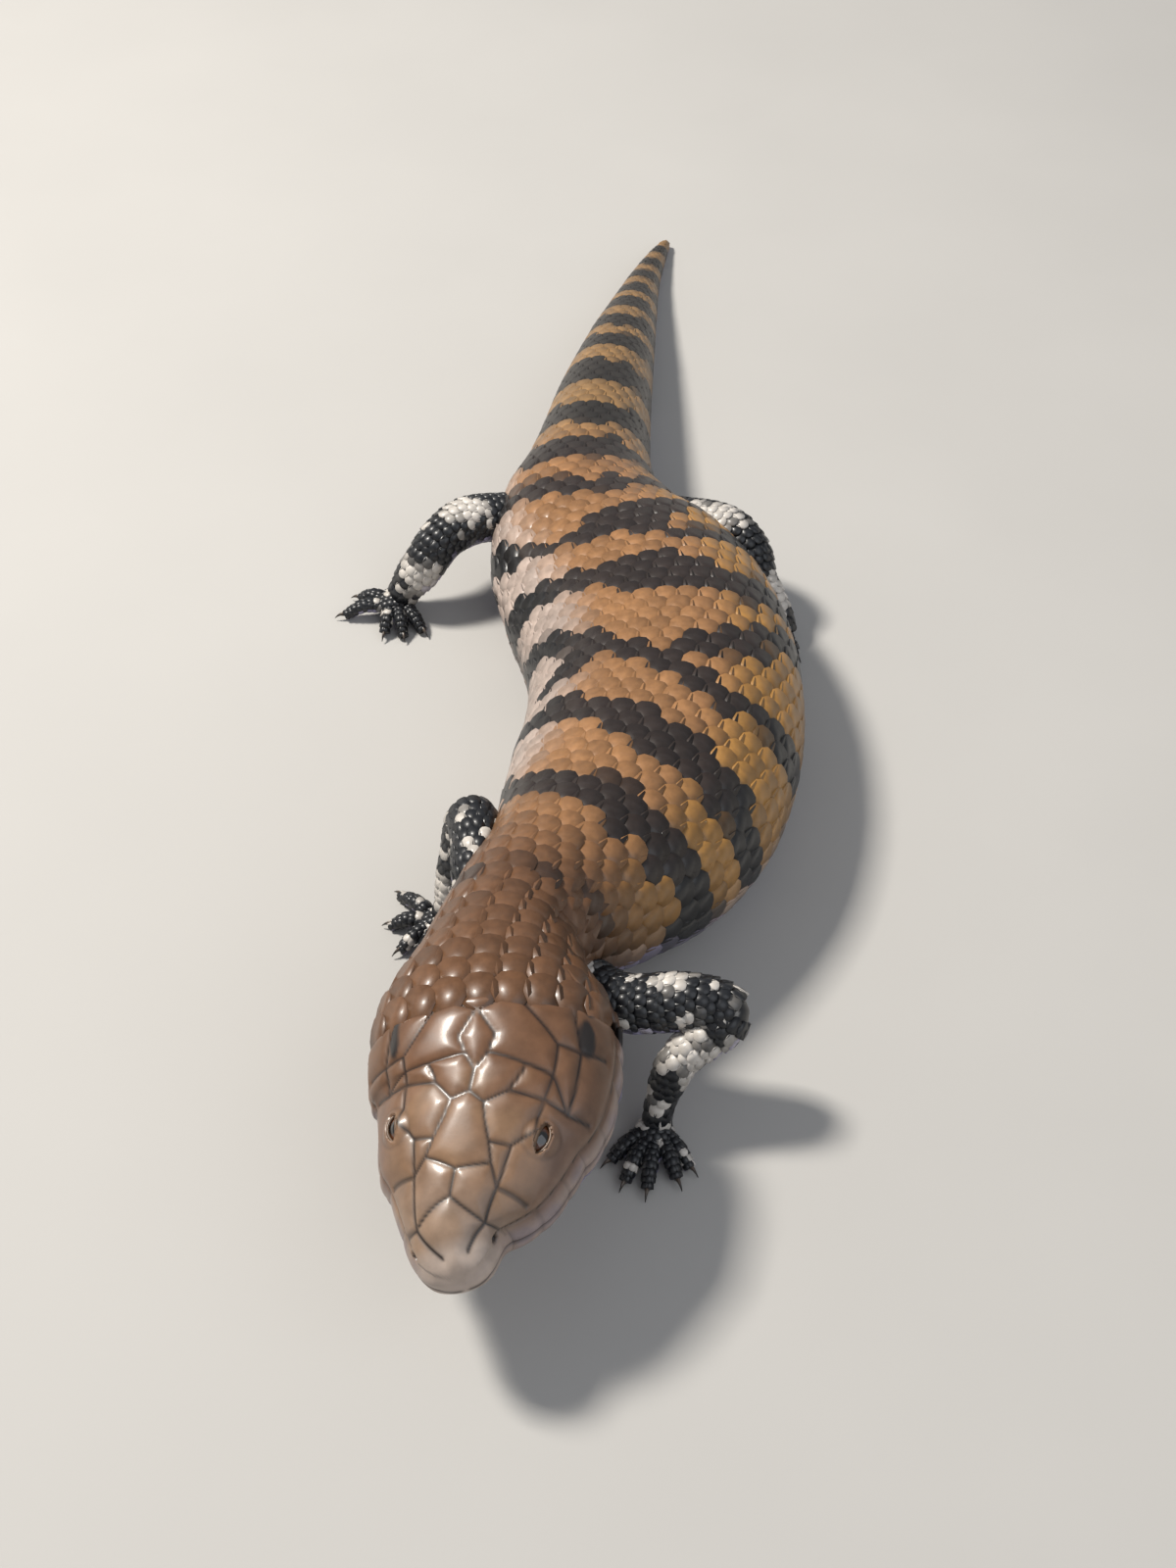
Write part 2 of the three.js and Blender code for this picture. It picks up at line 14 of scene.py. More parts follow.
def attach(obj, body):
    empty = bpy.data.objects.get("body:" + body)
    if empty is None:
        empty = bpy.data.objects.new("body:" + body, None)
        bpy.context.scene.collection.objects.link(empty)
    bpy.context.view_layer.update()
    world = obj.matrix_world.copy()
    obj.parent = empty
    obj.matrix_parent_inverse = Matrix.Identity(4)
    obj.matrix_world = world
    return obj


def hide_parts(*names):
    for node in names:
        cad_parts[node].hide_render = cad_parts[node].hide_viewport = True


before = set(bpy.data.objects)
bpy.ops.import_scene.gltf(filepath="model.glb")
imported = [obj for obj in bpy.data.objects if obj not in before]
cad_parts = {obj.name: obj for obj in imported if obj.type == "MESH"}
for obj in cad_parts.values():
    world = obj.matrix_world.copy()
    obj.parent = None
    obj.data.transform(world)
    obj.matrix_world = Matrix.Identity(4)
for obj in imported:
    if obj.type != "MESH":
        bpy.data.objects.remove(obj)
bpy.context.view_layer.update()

MM = 0.001
FLOOR_GAP = 0.02
chance = np.random.default_rng(11)
print("solids:", len(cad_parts))

# %% [markdown]
# The head, trunk and tail of the animal are one long tube, broad at the head and belly. It could be
# sculpted, but a row of stations with smooth values between them is easier to measure and to change. The
# stations are those of the solids, in millimetres: the place on the floor plan, half the width, the heights
# of the back, of the widest line and of the belly, and the lean in degrees.

# %% Stations of the trunk
STATIONS = np.array([
    (-7.4, -76.5, 4.7, 14.6, 10.7, 8.3, 9),
    (-8.1, -72.8, 4.8, 15.5, 10.9, 8.1, 9),
    (-7.3, -68.8, 7.0, 16.6, 11.1, 8.0, 9),
    (-6.6, -65.2, 8.2, 17.8, 11.4, 7.7, 9),
    (-5.8, -61.5, 9.5, 18.9, 11.7, 7.5, 9),
    (-5.7, -57.2, 10, 19.8, 12.1, 7.4, 9),
    (-5.7, -53.2, 9.4, 20.2, 12.5, 7.4, 7),
    (-5.5, -49.6, 7.5, 20.0, 12.8, 7.5, 5),
    (-4.9, -45.2, 6.1, 19.3, 12.6, 7.2, 3),
    (-2.9, -40.7, 6.7, 18.5, 11.2, 5.4, 1),
    (0.4, -36, 8.5, 17.9, 9.4, 3.0, 0),
    (3.6, -30.5, 10.7, 17.5, 7.9, 0.8, 0),
    (6.4, -24, 12.2, 17.2, 7.3, -0.3, 0),
    (8.4, -16.5, 12.6, 16.9, 7.0, -0.5, 0),
    (8.9, -9, 12.6, 16.6, 6.9, -0.5, 0),
    (8.0, -2, 12.7, 16.1, 6.7, -0.5, 0),
    (5.6, 5, 12.4, 15.3, 6.4, -0.4, 0),
    (2.7, 11.5, 10.9, 14.2, 6.1, -0.2, 0),
    (1.3, 18, 8.8, 13.1, 5.9, 0.2, 0),
    (1.6, 24.5, 6.7, 12, 5.4, 0.1, 0),
    (2.3, 31, 5.7, 11, 4.9, -0.2, 0),
    (3.3, 39, 5.0, 9.7, 4.4, -0.3, 0),
    (4.4, 46, 4.3, 8.4, 3.8, -0.3, 0),
    (5.5, 52.5, 3.6, 7, 3.2, -0.3, 0),
    (6.8, 59.5, 2.7, 5.3, 2.4, -0.25, 0),
    (8.3, 67, 1.75, 3.5, 1.6, -0.2, 0),
    (9.9, 73, 1.05, 2.1, 0.95, -0.15, 0),
    (11.2, 77, 0.5, 1.1, 0.5, -0.1, 0),
])
X, Y, HALF, TOP, MID, LOW, LEAN = range(7)
# The solids stand this far from the stations, so that the model is in the middle of their frame
SHIFT = np.array([0.67, -0.23, 0.0])
STRIDES = np.hypot(np.diff(STATIONS[:, X]), np.diff(STATIONS[:, Y]))


def running(steps):
    """The running total of steps, from 0."""
    return np.concatenate([[0], np.cumsum(steps)])


REACH = running(STRIDES)
BODY_LENGTH = REACH[-1]
print("stations:", len(STATIONS), "over", round(float(BODY_LENGTH), 1), "mm")

# %% Smooth values between the stations


def station_slopes():
    slopes = np.zeros_like(STATIONS)
    for k in range(len(STATIONS)):
        a = max(k - 1, 0)
        b = min(k + 1, len(STATIONS) - 1)
        slopes[k] = (STATIONS[b] - STATIONS[a]) / (REACH[b] - REACH[a])
    return slopes


SLOPES = station_slopes()


def size_at(column, along):
    """A smooth value of one column of the stations at a distance from the snout."""
    s = np.clip(along, 0, BODY_LENGTH)
    i = np.clip(np.searchsorted(REACH, s) - 1, 0, len(REACH) - 2)
    span = REACH[i + 1] - REACH[i]
    t = (s - REACH[i]) / span
    t2 = t * t
    t3 = t2 * t
    start = STATIONS[i, column] * (2 * t3 - 3 * t2 + 1) + SLOPES[i, column] * span * (t3 - 2 * t2 + t)
    return start + STATIONS[i + 1, column] * (3 * t2 - 2 * t3) + SLOPES[i + 1, column] * span * (t3 - t2)


print("half width in the middle:", round(float(size_at(HALF, BODY_LENGTH / 2)), 1), "mm")

# %% [markdown]
# A cut through the trunk is an egg shape, fuller below than above, that leans to one side at the head. One
# function gives any point of the skin from its distance behind the snout and its angle round the body, from
# the crown towards the animal's left. The skin, the scales and the eyes all use it, so they all sit on one
# surface.

# %% Points of the skin
SNOUT_ROUNDING = 10
TAIL_ROUNDING = 1.2
SNOUT_SQUARENESS = 2.2
UPPER_SQUARENESS = 2.05
LOWER_SQUARENESS = 2.5
HEADING_STEP = 0.5
FRAME_STEP = 0.15


def across_at(along):
    """The level direction to the animal's left, square to the line of the back."""
    middle = np.clip(along, HEADING_STEP, BODY_LENGTH - HEADING_STEP)
    dx = size_at(X, middle + HEADING_STEP) - size_at(X, middle - HEADING_STEP)
    dy = size_at(Y, middle + HEADING_STEP) - size_at(Y, middle - HEADING_STEP)
    length = np.hypot(dx, dy)
    return dy / length, -dx / length


def end_rounding(along):
    """How full the tube is, from 0 at its two ends to 1."""
    front = np.maximum(0, 1 - along / SNOUT_ROUNDING)
    rear = np.maximum(0, 1 - (BODY_LENGTH - along) / TAIL_ROUNDING)
    snout = (1 - front ** SNOUT_SQUARENESS) ** (1 / SNOUT_SQUARENESS)
    return snout * np.sqrt(np.maximum(0, 1 - rear * rear))


def skin_point(along, degrees, grow=0.0):
    """A point of the skin in millimetres, or of a surface that lies the distance grow outside it."""
    along = np.clip(np.asarray(along, float), 0, BODY_LENGTH)
    angle = np.radians(degrees)
    fullness = end_rounding(along)
    middle = size_at(MID, along)
    cosine = np.cos(angle)
    sine = np.sin(angle)
    edge = np.where(cosine > 0, size_at(TOP, along), size_at(LOW, along))
    exponent = 2 / np.where(cosine > 0, UPPER_SQUARENESS, LOWER_SQUARENESS)
    side = size_at(HALF, along) * fullness * np.sign(sine) * np.abs(sine) ** exponent + grow * sine
    rise = (edge - middle) * fullness * np.abs(cosine) ** exponent + grow * cosine
    lean = np.radians(size_at(LEAN, along))
    outward = side * np.cos(lean) - rise * np.sin(lean)
    height = middle + rise * np.cos(lean) + side * np.sin(lean)
    ax, ay = across_at(along)
    x = size_at(X, along) + ax * outward
    y = size_at(Y, along) + ay * outward
    return np.stack([x, y, np.maximum(height, np.maximum(-grow, FLOOR_GAP))], -1) + SHIFT


def unit(vectors):
    return vectors / np.maximum(np.linalg.norm(vectors, axis=-1, keepdims=True), 1e-9)


def skin_frame(along, degrees, grow=0.0):
    """A place on the skin, with the directions to the left, to the tail and outward."""
    place = skin_point(along, degrees, grow)
    behind = skin_point(along + FRAME_STEP, degrees, grow)
    ahead = skin_point(along - FRAME_STEP, degrees, grow)
    tailward = unit(behind - ahead)
    leftward = unit(skin_point(along, degrees + 1, grow) - skin_point(along, degrees - 1, grow))
    outward = unit(np.cross(leftward, tailward))
    return place, unit(np.cross(tailward, outward)), tailward, outward


print("tip of the tail:", skin_point(BODY_LENGTH, 0).round(1).tolist(), "mm")

# %% Distances round the body
ARC_ANGLES = np.arange(0, 181, 2.0)


def arcs_round(along, way):
    """Distances over the skin from the crown, for every one of ARC_ANGLES on one side."""
    ring = skin_point(np.full(len(ARC_ANGLES), along), way * ARC_ANGLES)
    return running(np.linalg.norm(np.diff(ring, axis=0), axis=1))


print("half way round the belly:", round(float(arcs_round(BODY_LENGTH / 2, 1)[-1]), 1), "mm")

# %% [markdown]
# The animal is banded: dark bands cross a tan back, the left flank is ochre, the right flank creamy and the
# underside lilac and white. An image could carry such markings, but it needs an unwrap and has a fixed
# fineness. Here each point's colour is worked out from its distance behind the snout and its distance round
# the body, so the skin and the scales over it agree.

# %% Colours


def shade(code):
    """A colour written as six hexadecimal digits, as linear light."""
    parts = np.array([int(code[i:i + 2], 16) for i in (0, 2, 4)]) / 255
    return np.where(parts <= 0.04045, parts / 12.92, ((parts + 0.055) / 1.055) ** 2.4)


TAN = shade("8b6440")
OCHRE = shade("936b35")
CREAM = shade("a6968c")
NAPE = shade("60422b")
TAIL_TAN = shade("8a6a43")
LILAC = shade("807a93")
BELLY = shade("b8afb4")
DARK_BACK = shade("281f1b")
DARK_FLANK = shade("141415")
TAIL_DARK = shade("26221e")
LEG_BLACK = shade("15171b")
LEG_WHITE = shade("c9c3bb")
LEG_UNDER = shade("8d88a3")
print("tan of the back:", TAN.round(3).tolist())

# %% Places of the bands
# Each place is a distance round the body, a distance behind the snout, and half the band's width there
BANDS = {
    "nape": ((-8, 33, 0.5), (0, 34, 0.7), (2, 35, 0.9), (5, 36.5, 0.9), (9, 37.5, 0.8)),
    "shoulder": (
        (-17, 50, 1.6), (-9, 45, 1.2), (-4, 45.3, 1.8), (0, 45.5, 2.2), (4, 45.3, 2.1), (9, 44.8, 1.7),
        (18, 45, 1.9),
    ),
    "chest": (
        (-17, 55, 1.3), (-12, 56, 1.5), (-8, 57, 1.8), (-4, 56.2, 1.7), (-1, 54.9, 2.5), (5, 54.3, 2.5),
        (8, 52.7, 1.7), (18, 52, 2.0),
    ),
    "armpit": ((-14, 62, 0), (-12, 62.5, 1.6), (-9.5, 64.5, 2.0), (-7, 66, 0)),
    "ribs": (
        (-17, 73, 2.3), (-12, 71.5, 2.4), (-6, 66.8, 2.0), (-1, 64.3, 1.7), (3, 63, 1.6), (6, 61.4, 1.2),
        (18, 61.5, 1.5),
    ),
    "side": ((0.5, 65.5, 0.6), (3, 67.3, 1.7), (7, 68.4, 1.6), (11, 70.5, 1.5), (18, 72, 1.7)),
    "loin": (
        (-17, 83, 2.5), (-12, 82, 2.5), (-7, 79.5, 1.9), (-3, 77.2, 2.5), (2, 76.9, 2.8), (7, 75.8, 1.9),
        (18, 76.5, 1.8),
    ),
    "fleck": ((1, 84.2, 0.2), (3.5, 83.2, 0.9), (8, 82.5, 1.2), (14, 84, 1.4)),
    "waist": (
        (-16, 93, 1.6), (-12, 91.5, 1.7), (-9, 88.5, 1.0), (-5, 86.2, 1.3), (-1, 87.4, 2.2), (4, 87, 1.8),
        (9, 88, 1.2), (14, 89, 1.2),
    ),
    "hip": (
        (-12, 98.5, 1.5), (-7, 96.6, 1.4), (-2, 94.6, 1.4), (2, 93.7, 1.5), (7, 94.5, 1.4), (12, 95, 1.2),
    ),
}
# The bands of the tail run nearly straight round it: distance behind the snout, and half the width
TAIL_BANDS = (
    (101.9, 2.4), (109.7, 2.5), (118.6, 2.6), (126.9, 1.9), (132.3, 1.7),
    (137.5, 1.5), (142.3, 1.4), (147.0, 1.3), (151.2, 1.2), (155.2, 1.1),
)
BAND_MARGIN = 1
BAND_SOFTNESS = 0.12
BAND_RAGGEDNESS = 0.9
THINNEST_BAND = 0.1
NAPE_STRENGTH = 0.7
TAIL_BAND_SLOPE = 0.1
print("bands:", len(BANDS) + len(TAIL_BANDS))

# %% Noise and mixing


def wander(place, size, seed=0.0):
    """Smooth noise from -1 to 1 at points in millimetres, whose lumps are about size across."""
    scaled = np.asarray(place) / size
    return np.array([noise.noise(Vector((p[0] + seed, p[1], p[2]))) for p in scaled])


def mix(a, b, amount):
    """Colour a where the amount is 0, and colour b where it is 1."""
    amount = np.clip(amount, 0, 1)[..., None]
    return a * (1 - amount) + b * amount


def ramp(value, low, high):
    """A smooth step from 0 at low to 1 at high."""
    t = np.clip((value - low) / (high - low), 0, 1)
    return t * t * (3 - 2 * t)


print("half a step:", float(ramp(0.5, 0, 1)))

# %% Darkness of the bands


def band_edge(off, half):
    return 1 - ramp(off, half - BAND_SOFTNESS, half + BAND_SOFTNESS)


def band_darkness(along, arc, ragged):
    """How dark each place is, from 0 to 1."""
    dark = np.zeros(len(along))
    for name, places in BANDS.items():
        arcs, alongs, halves = np.array(places, float).T
        half = np.interp(arc, arcs, halves)
        off = np.abs(along - np.interp(arc, arcs, alongs)) + ragged
        inside = (arc > arcs[0] - BAND_MARGIN) & (arc < arcs[-1] + BAND_MARGIN) & (half > THINNEST_BAND)
        strength = NAPE_STRENGTH if name == "nape" else 1.0
        dark = np.maximum(dark, strength * inside * band_edge(off, half))
    for middle, half in TAIL_BANDS:
        off = np.abs(along - middle - TAIL_BAND_SLOPE * np.abs(arc)) + ragged
        dark = np.maximum(dark, band_edge(off, half))
    return dark


print("band over the loin:", float(band_darkness(np.array([77.0]), np.array([0.0]), 0).round(2)[0]))

# %% Colour of the trunk
# Distances behind the snout, distances round the body, or shares of the way from crown to belly, over which
# one colour turns to the next
OCHRE_ARC = (4, 9)
CREAM_ARC = (6, 11)
CREAM_ALONG = (38, 52)
CREAM_LOW = (0.5, 0.62)
NAPE_ALONG = (34, 46)
TAIL_ALONG = (98, 112)
TAIL_DARK_ALONG = (98, 110)
BLACK_ARC = (7, 12)
BLOTCH_LOW = (0.46, 0.54)
BLOTCH_END = (0.62, 0.72)
UNDER_LOW = (0.60, 0.66)
BELLY_LOW = (0.72, 0.9)
SPOTS_END = (0.8, 0.9)


def light_colour(along, arc, low):
    """Colour between the bands."""
    light = mix(TAN, OCHRE, ramp(arc, *OCHRE_ARC))
    light = mix(light, CREAM, ramp(-arc, *CREAM_ARC) * ramp(along, *CREAM_ALONG))
    light = mix(light, CREAM, ramp(low, *CREAM_LOW) * 0.7)
    light = mix(NAPE, light, ramp(along, *NAPE_ALONG))
    return mix(light, TAIL_TAN, ramp(along, *TAIL_ALONG))


def dark_colour(along, arc):
    """Colour of the bands: brown on the back and black on the flanks."""
    dark = mix(DARK_BACK, DARK_FLANK, ramp(np.abs(arc), *BLACK_ARC))
    return mix(dark, TAIL_DARK, ramp(along, *TAIL_DARK_ALONG))


def under_colour(low, place):
    """Lilac low on the sides and pale on the belly, with black spots."""
    under = mix(LILAC, BELLY, ramp(low, *BELLY_LOW))
    spots = ramp(wander(place, size=3.4, seed=60), 0.25, 0.42)
    return mix(under, DARK_FLANK, 0.7 * spots * (1 - ramp(low, *SPOTS_END)))


def trunk_colour(along, arc, half_round, place):
    """Colour of the trunk. half_round is the distance from the crown to the midline of the belly."""
    low = np.abs(arc) / half_round
    ragged = BAND_RAGGEDNESS * wander(place, size=2.0)
    colour = mix(light_colour(along, arc, low), dark_colour(along, arc), band_darkness(along, arc, ragged))
    blotch = ramp(wander(place, size=4.5, seed=30), 0.05, 0.3) * ramp(low, *BLOTCH_LOW)
    colour = mix(colour, DARK_FLANK, blotch * 0.85 * (1 - ramp(low, *BLOTCH_END)))
    edge = low + 0.04 * wander(place, size=2.0, seed=9)
    return mix(colour, under_colour(low, place), ramp(edge, *UNDER_LOW))


print("ochre of the left flank:", light_colour(np.array([60.0]), np.array([12.0]), 0.4).round(2).tolist())

# %% Colour of the legs
# Pale patches of the legs: middle of the patch in millimetres and its half sizes
LEG_PATCHES = {
    "foreleg_left": (((10.8, -51.6, 7.0), (3.4, 3.0, 3.4)), ((8.4, -48.6, 12.0), (1.7, 1.2, 1.2))),
    "foreleg_right": (((-10.2, -32.0, 4.6), (2.0, 2.0, 2.2)),),
    "hindleg_left": (((14.5, 13.5, 10.0), (3.0, 1.6, 1.2)), ((19.4, 8.0, 4.5), (2.2, 2.2, 2.0))),
    "hindleg_right": (((-11.0, 14.6, 10.2), (2.8, 1.6, 1.2)), ((-15.0, 11.0, 5.0), (2.2, 2.2, 2.0))),
}


def leg_colour(name, place, outward):
    """Black with white spots and pale patches above, and lilac below."""
    spots = ramp(wander(place, size=1.15, seed=15), 0.26, 0.36)
    ragged = 0.35 * wander(place, size=1.0, seed=22)
    for middle, half in LEG_PATCHES[name]:
        off = np.linalg.norm((place - SHIFT - middle) / np.array(half), axis=1) + ragged
        spots = np.maximum(spots, 1 - ramp(off, 0.85, 1.1))
    colour = mix(LEG_BLACK, LEG_WHITE, 0.85 * spots)
    blacks = ramp(wander(place, size=1.4, seed=33), 0.05, 0.2)
    under = mix(LEG_UNDER, LEG_BLACK, blacks)
    downward = -outward[:, 2] + 0.3 * wander(place, size=1.5, seed=40)
    return mix(colour, under, ramp(downward, 0.2, 0.5))


print("pale patches:", sum(len(patches) for patches in LEG_PATCHES.values()))

# %% [markdown]
# The crown of a skink carries large shields with narrow grooves between them, in place of scales. The
# grooves could be cut with a knife tool, one after another, but then no shield could be moved. Here a table
# of corners and the lines between them give the distance from any point to the nearest groove, and the
# relief follows it. The crown's corners are those of the solids. The corners of the sides, from
# loreal_front on, are only here: in the solids the sides are plain. A row of lip shields stands over and
# under the mouth.

# %% Corners and grooves of the shields
# Each corner is a distance behind the snout and a distance from the crown's midline, the same on both sides
CORNERS = {
    "rostral": (1.6, 1.0), "nasal": (3.6, 2.8), "muzzle": (5.1, 0), "brow": (7.0, 0),
    "brow_side": (7.8, 2.6), "canthus": (6.4, 3.4), "orbit_front": (9.2, 2.2), "orbit_outer": (9.3, 3.9),
    "orbit_side": (10.8, 5.4), "waist": (10.8, 1.6), "crown": (12.0, 1.3), "crown_middle": (12.7, 0),
    "orbit_rear": (13.2, 2.9), "orbit_corner": (13.4, 5.8), "centre": (14.4, 0), "temple": (15.3, 3.95),
    "temple_outer": (15.0, 6.1), "kite_front": (15.9, 0.9), "kite_side": (17.4, 1.4),
    "kite_rear": (19.5, 0.1), "parietal_outer": (17.0, 6.3), "parietal_rear": (20.0, 3.6),
    "parietal_inner": (20.3, 1.7), "loreal_front": (3.7, 5.0), "loreal_rear": (6.4, 6.2),
    "cheek_front": (13.2, 7.9), "cheek_middle": (16.9, 8.3), "cheek_rear": (20.6, 7.6),
    "jaw_front": (13.6, 10.2), "jaw_middle": (17.3, 10.9), "jaw_rear": (20.9, 10.4),
}
GROOVES = (
    (
        "rostral", "nasal", "muzzle", "brow", "brow_side", "orbit_front", "waist", "crown", "crown_middle",
        "centre",
    ),
    ("nasal", "canthus", "brow_side"),
    ("canthus", "orbit_outer", "orbit_front"),
    ("orbit_outer", "orbit_side", "orbit_corner", "orbit_rear", "crown"),
    ("orbit_corner", "temple_outer", "temple", "orbit_rear"),
    ("temple", "kite_front", "centre"),
    (
        "kite_front", "kite_side", "kite_rear", "parietal_inner", "parietal_rear", "parietal_outer",
        "temple_outer",
    ),
    ("nasal", "loreal_front"),
    ("canthus", "loreal_rear"),
    ("orbit_corner", "cheek_front", "cheek_middle", "cheek_rear"),
    ("temple_outer", "cheek_front", "jaw_front"),
    ("parietal_outer", "cheek_middle", "jaw_middle"),
    ("parietal_rear", "cheek_rear", "jaw_rear"),
)
NO_GROOVE = 9.0


def groove_pieces():
    """Every straight piece of a groove, on both sides of the crown."""
    pieces = []
    for way in (1, -1):
        for line in GROOVES:
            for a, b in zip(line[:-1], line[1:]):
                pieces.append((CORNERS[a][0], way * CORNERS[a][1], CORNERS[b][0], way * CORNERS[b][1]))
    return np.array(pieces)


def distance_to_pieces(along, arc, pieces):
    """Distance of every point to the nearest piece."""
    best = np.full(len(along), NO_GROOVE)
    for s0, a0, s1, a1 in pieces:
        ds = s1 - s0
        da = a1 - a0
        t = np.clip(((along - s0) * ds + (arc - a0) * da) / (ds * ds + da * da), 0, 1)
        best = np.minimum(best, np.hypot(along - s0 - t * ds, arc - a0 - t * da))
    return best


print("pieces of groove:", len(groove_pieces()))

# %% Lip shields and scales of the chin
LIP_SHIELD = 2.5
LIP_START = 0.9
LIP_HEIGHT = 2.1
LIP_ALONG = (3.2, 21)
CHIN_ROW = 2.4
CHIN_COLUMN = 2.6
CHIN_OFFSET = 1.2


def near_multiple(value, step):
    """Distance to the nearest whole number of steps."""
    return np.abs((value / step) % 1 - 0.5) * -step + step / 2


def groove_distance(along, arc, over_lip):
    """Distance to the nearest groove. over_lip is the height over the mouth, negative on the chin."""
    best = distance_to_pieces(along, arc, groove_pieces())
    first, last = LIP_ALONG
    upright = near_multiple(along + LIP_START, LIP_SHIELD)
    in_row = (np.abs(over_lip) < LIP_HEIGHT) & (along < last) & (along > first)
    best = np.where(in_row, np.minimum(best, upright), best)
    edge = np.where(along > first, np.abs(np.abs(over_lip) - LIP_HEIGHT), NO_GROOVE)
    best = np.where(along < last, np.minimum(best, edge), best)
    below = over_lip + LIP_HEIGHT
    row = near_multiple(below, CHIN_ROW)
    column = near_multiple(along + CHIN_OFFSET * (np.floor(below / CHIN_ROW) % 2), CHIN_COLUMN)
    return np.where(over_lip < -LIP_HEIGHT, np.minimum(best, np.minimum(row, column)), best)


print("lip shields on a side:", int((LIP_ALONG[1] - LIP_ALONG[0]) / LIP_SHIELD))

# %% [markdown]
# The eye of a skink sits in a shallow dome of lids, the nostril is a small pit near the snout, and the ear
# is an open cup behind the corner of the mouth. Each could be placed by eye in the viewport. Here each has
# a seat, a place on the skin with its own directions, so the left and the right are alike and stay on the
# skin.

# %% Seats of the eyes, ears and nostrils
EYE_RADIUS = 1.5
EYE_SINK = 1.2
EYE_ALONG = 10.6
EYE_ANGLE = 46
EAR_ALONG = 21.8
EAR_ANGLE = 84
NOSTRIL_ALONG = 2.7
NOSTRIL_ANGLE = 62
# Half sizes of the opening between the lids, along it and across it
OPENING = (1.15, 0.54)


def side_seat(along, degrees, way, sink):
    """A place under the skin on one side, with the directions forward, up the side and outward."""
    place, leftward, tailward, outward = skin_frame(along, way * degrees)
    forward = -tailward
    upward = -leftward * way
    return place - sink * outward, forward, upward, outward


def both_sides(along, degrees, sink=0):
    """The same seat on the left and on the right of the head."""
    return {"left": side_seat(along, degrees, 1, sink), "right": side_seat(along, degrees, -1, sink)}


def local(points, seat):
    """How far points lie from a seat, forward, upward and outward."""
    place, forward, upward, outward = seat
    away = points - place
    return away @ forward, away @ upward, away @ outward


EYES = both_sides(EYE_ALONG, EYE_ANGLE, EYE_SINK)
EARS = both_sides(EAR_ALONG, EAR_ANGLE)
NOSTRILS = both_sides(NOSTRIL_ALONG, NOSTRIL_ANGLE)
print("middle of the left eye:", EYES["left"][0].round(1).tolist(), "mm")

# %% [markdown]
# The shields of the head stand out as low cushions, the lips swell on both sides of the mouth, and the lids
# bulge. A sculptor would push these out with brushes. Here each is a height added along the outward
# direction, worked out from the distance to the nearest groove or to the middle of a seat, so every groove
# has one width.

# %% Relief of the head
MOUTH_ANGLE = 97
MOUTH_LENGTH = 18
MOUTH_FADE = 3
CROWN_END = (20.2, 21.5)
SHIELD_HEIGHT = 0.17
SHIELD_SLOPE = 0.6
GROOVE_DEPTH = 0.1
GROOVE_WIDTH = 0.13
GROOVE_SHADE_WIDTH = 0.14
LIP_SWELL = 0.08
LIP_MIDDLE = 0.75
LIP_WIDTH = 0.55
# The mouth's line is this many times as deep as the lips swell
MOUTH_DEPTH = 2.6
MOUTH_WIDTH = 0.2
MOUTH_SHADE_WIDTH = 0.17
LIP_RELIEF = 0.55


def bell(distance, width):
    """1 at no distance, falling to 0 within a few widths."""
    return np.exp(-(distance / width) ** 2)


def head_relief(along, arc, over_lip):
    """Height over the plain skin, and the painted shade of grooves and of the mouth's line at each point."""
    away = groove_distance(along, arc, over_lip)
    fade = 1 - ramp(along, *CROWN_END)
    height = fade * (SHIELD_HEIGHT * (1 - bell(away, SHIELD_SLOPE)) - GROOVE_DEPTH * bell(away, GROOVE_WIDTH))
    lips = bell(np.abs(over_lip) - LIP_MIDDLE, LIP_WIDTH) - MOUTH_DEPTH * bell(over_lip, MOUTH_WIDTH)
    mouth = 1 - ramp(along, MOUTH_LENGTH - MOUTH_FADE, MOUTH_LENGTH)
    height = height * (1 - LIP_RELIEF * mouth * (over_lip < LIP_HEIGHT - 0.3))
    # The darkening of the grooves and of the mouth's line is painted shade
    groove = fade * bell(away, GROOVE_SHADE_WIDTH)
    return height + LIP_SWELL * lips * mouth, groove, mouth * bell(over_lip, MOUTH_SHADE_WIDTH)


print("depth of the mouth's line:", round(LIP_SWELL * MOUTH_DEPTH, 2), "mm")

# %% Lids and pits
LID_THICKNESS = 0.34
LID_REACH = 1.4
LID_EASE = 0.06
CREASE_DEPTH = 0.03
PIT_REACH = 2
# Half sizes and depths of the pits
EAR_PIT = (0.85, 1.4, 1.0)
NOSTRIL_PIT = (0.36, 0.3, 0.45)


def press_pit(points, seat, wide, high, deep):
    """Presses an oval pit into the points, and says how far inside it each one is."""
    x, y, z = local(points, seat)
    inside = np.clip(1 - (x / wide) ** 2 - (y / high) ** 2, 0, 1) * (np.abs(z) < PIT_REACH)
    return points - seat[3] * (deep * np.sqrt(inside))[:, None], inside


def raise_lids(points, seat):
    """The lids swell over the eye, and the opening between them sinks behind it."""
    x, y, z = local(points, seat)
    flat = np.hypot(x, y)
    radius = EYE_RADIUS + LID_THICKNESS
    reach = radius * LID_REACH
    swell = np.sqrt(np.maximum(radius ** 2 - flat ** 2, 0)) - 0.05
    near = (flat < reach) & (z > -1)
    over = swell - z
    softened = z + 0.5 * (over + np.sqrt(over ** 2 + LID_EASE))
    lifted = np.where(near, z + (softened - z) * (1 - ramp(flat, radius * 0.85, reach)), z)
    opening = (x / OPENING[0]) ** 2 + (np.abs(y) / OPENING[1]) ** 1.5
    lifted = np.where(near & (opening < 1), np.minimum(lifted, EYE_RADIUS * 0.35), lifted)
    crease = bell(flat - radius * 0.86, 0.16) * near
    return points + seat[3] * (lifted - z - CREASE_DEPTH * crease)[:, None], crease


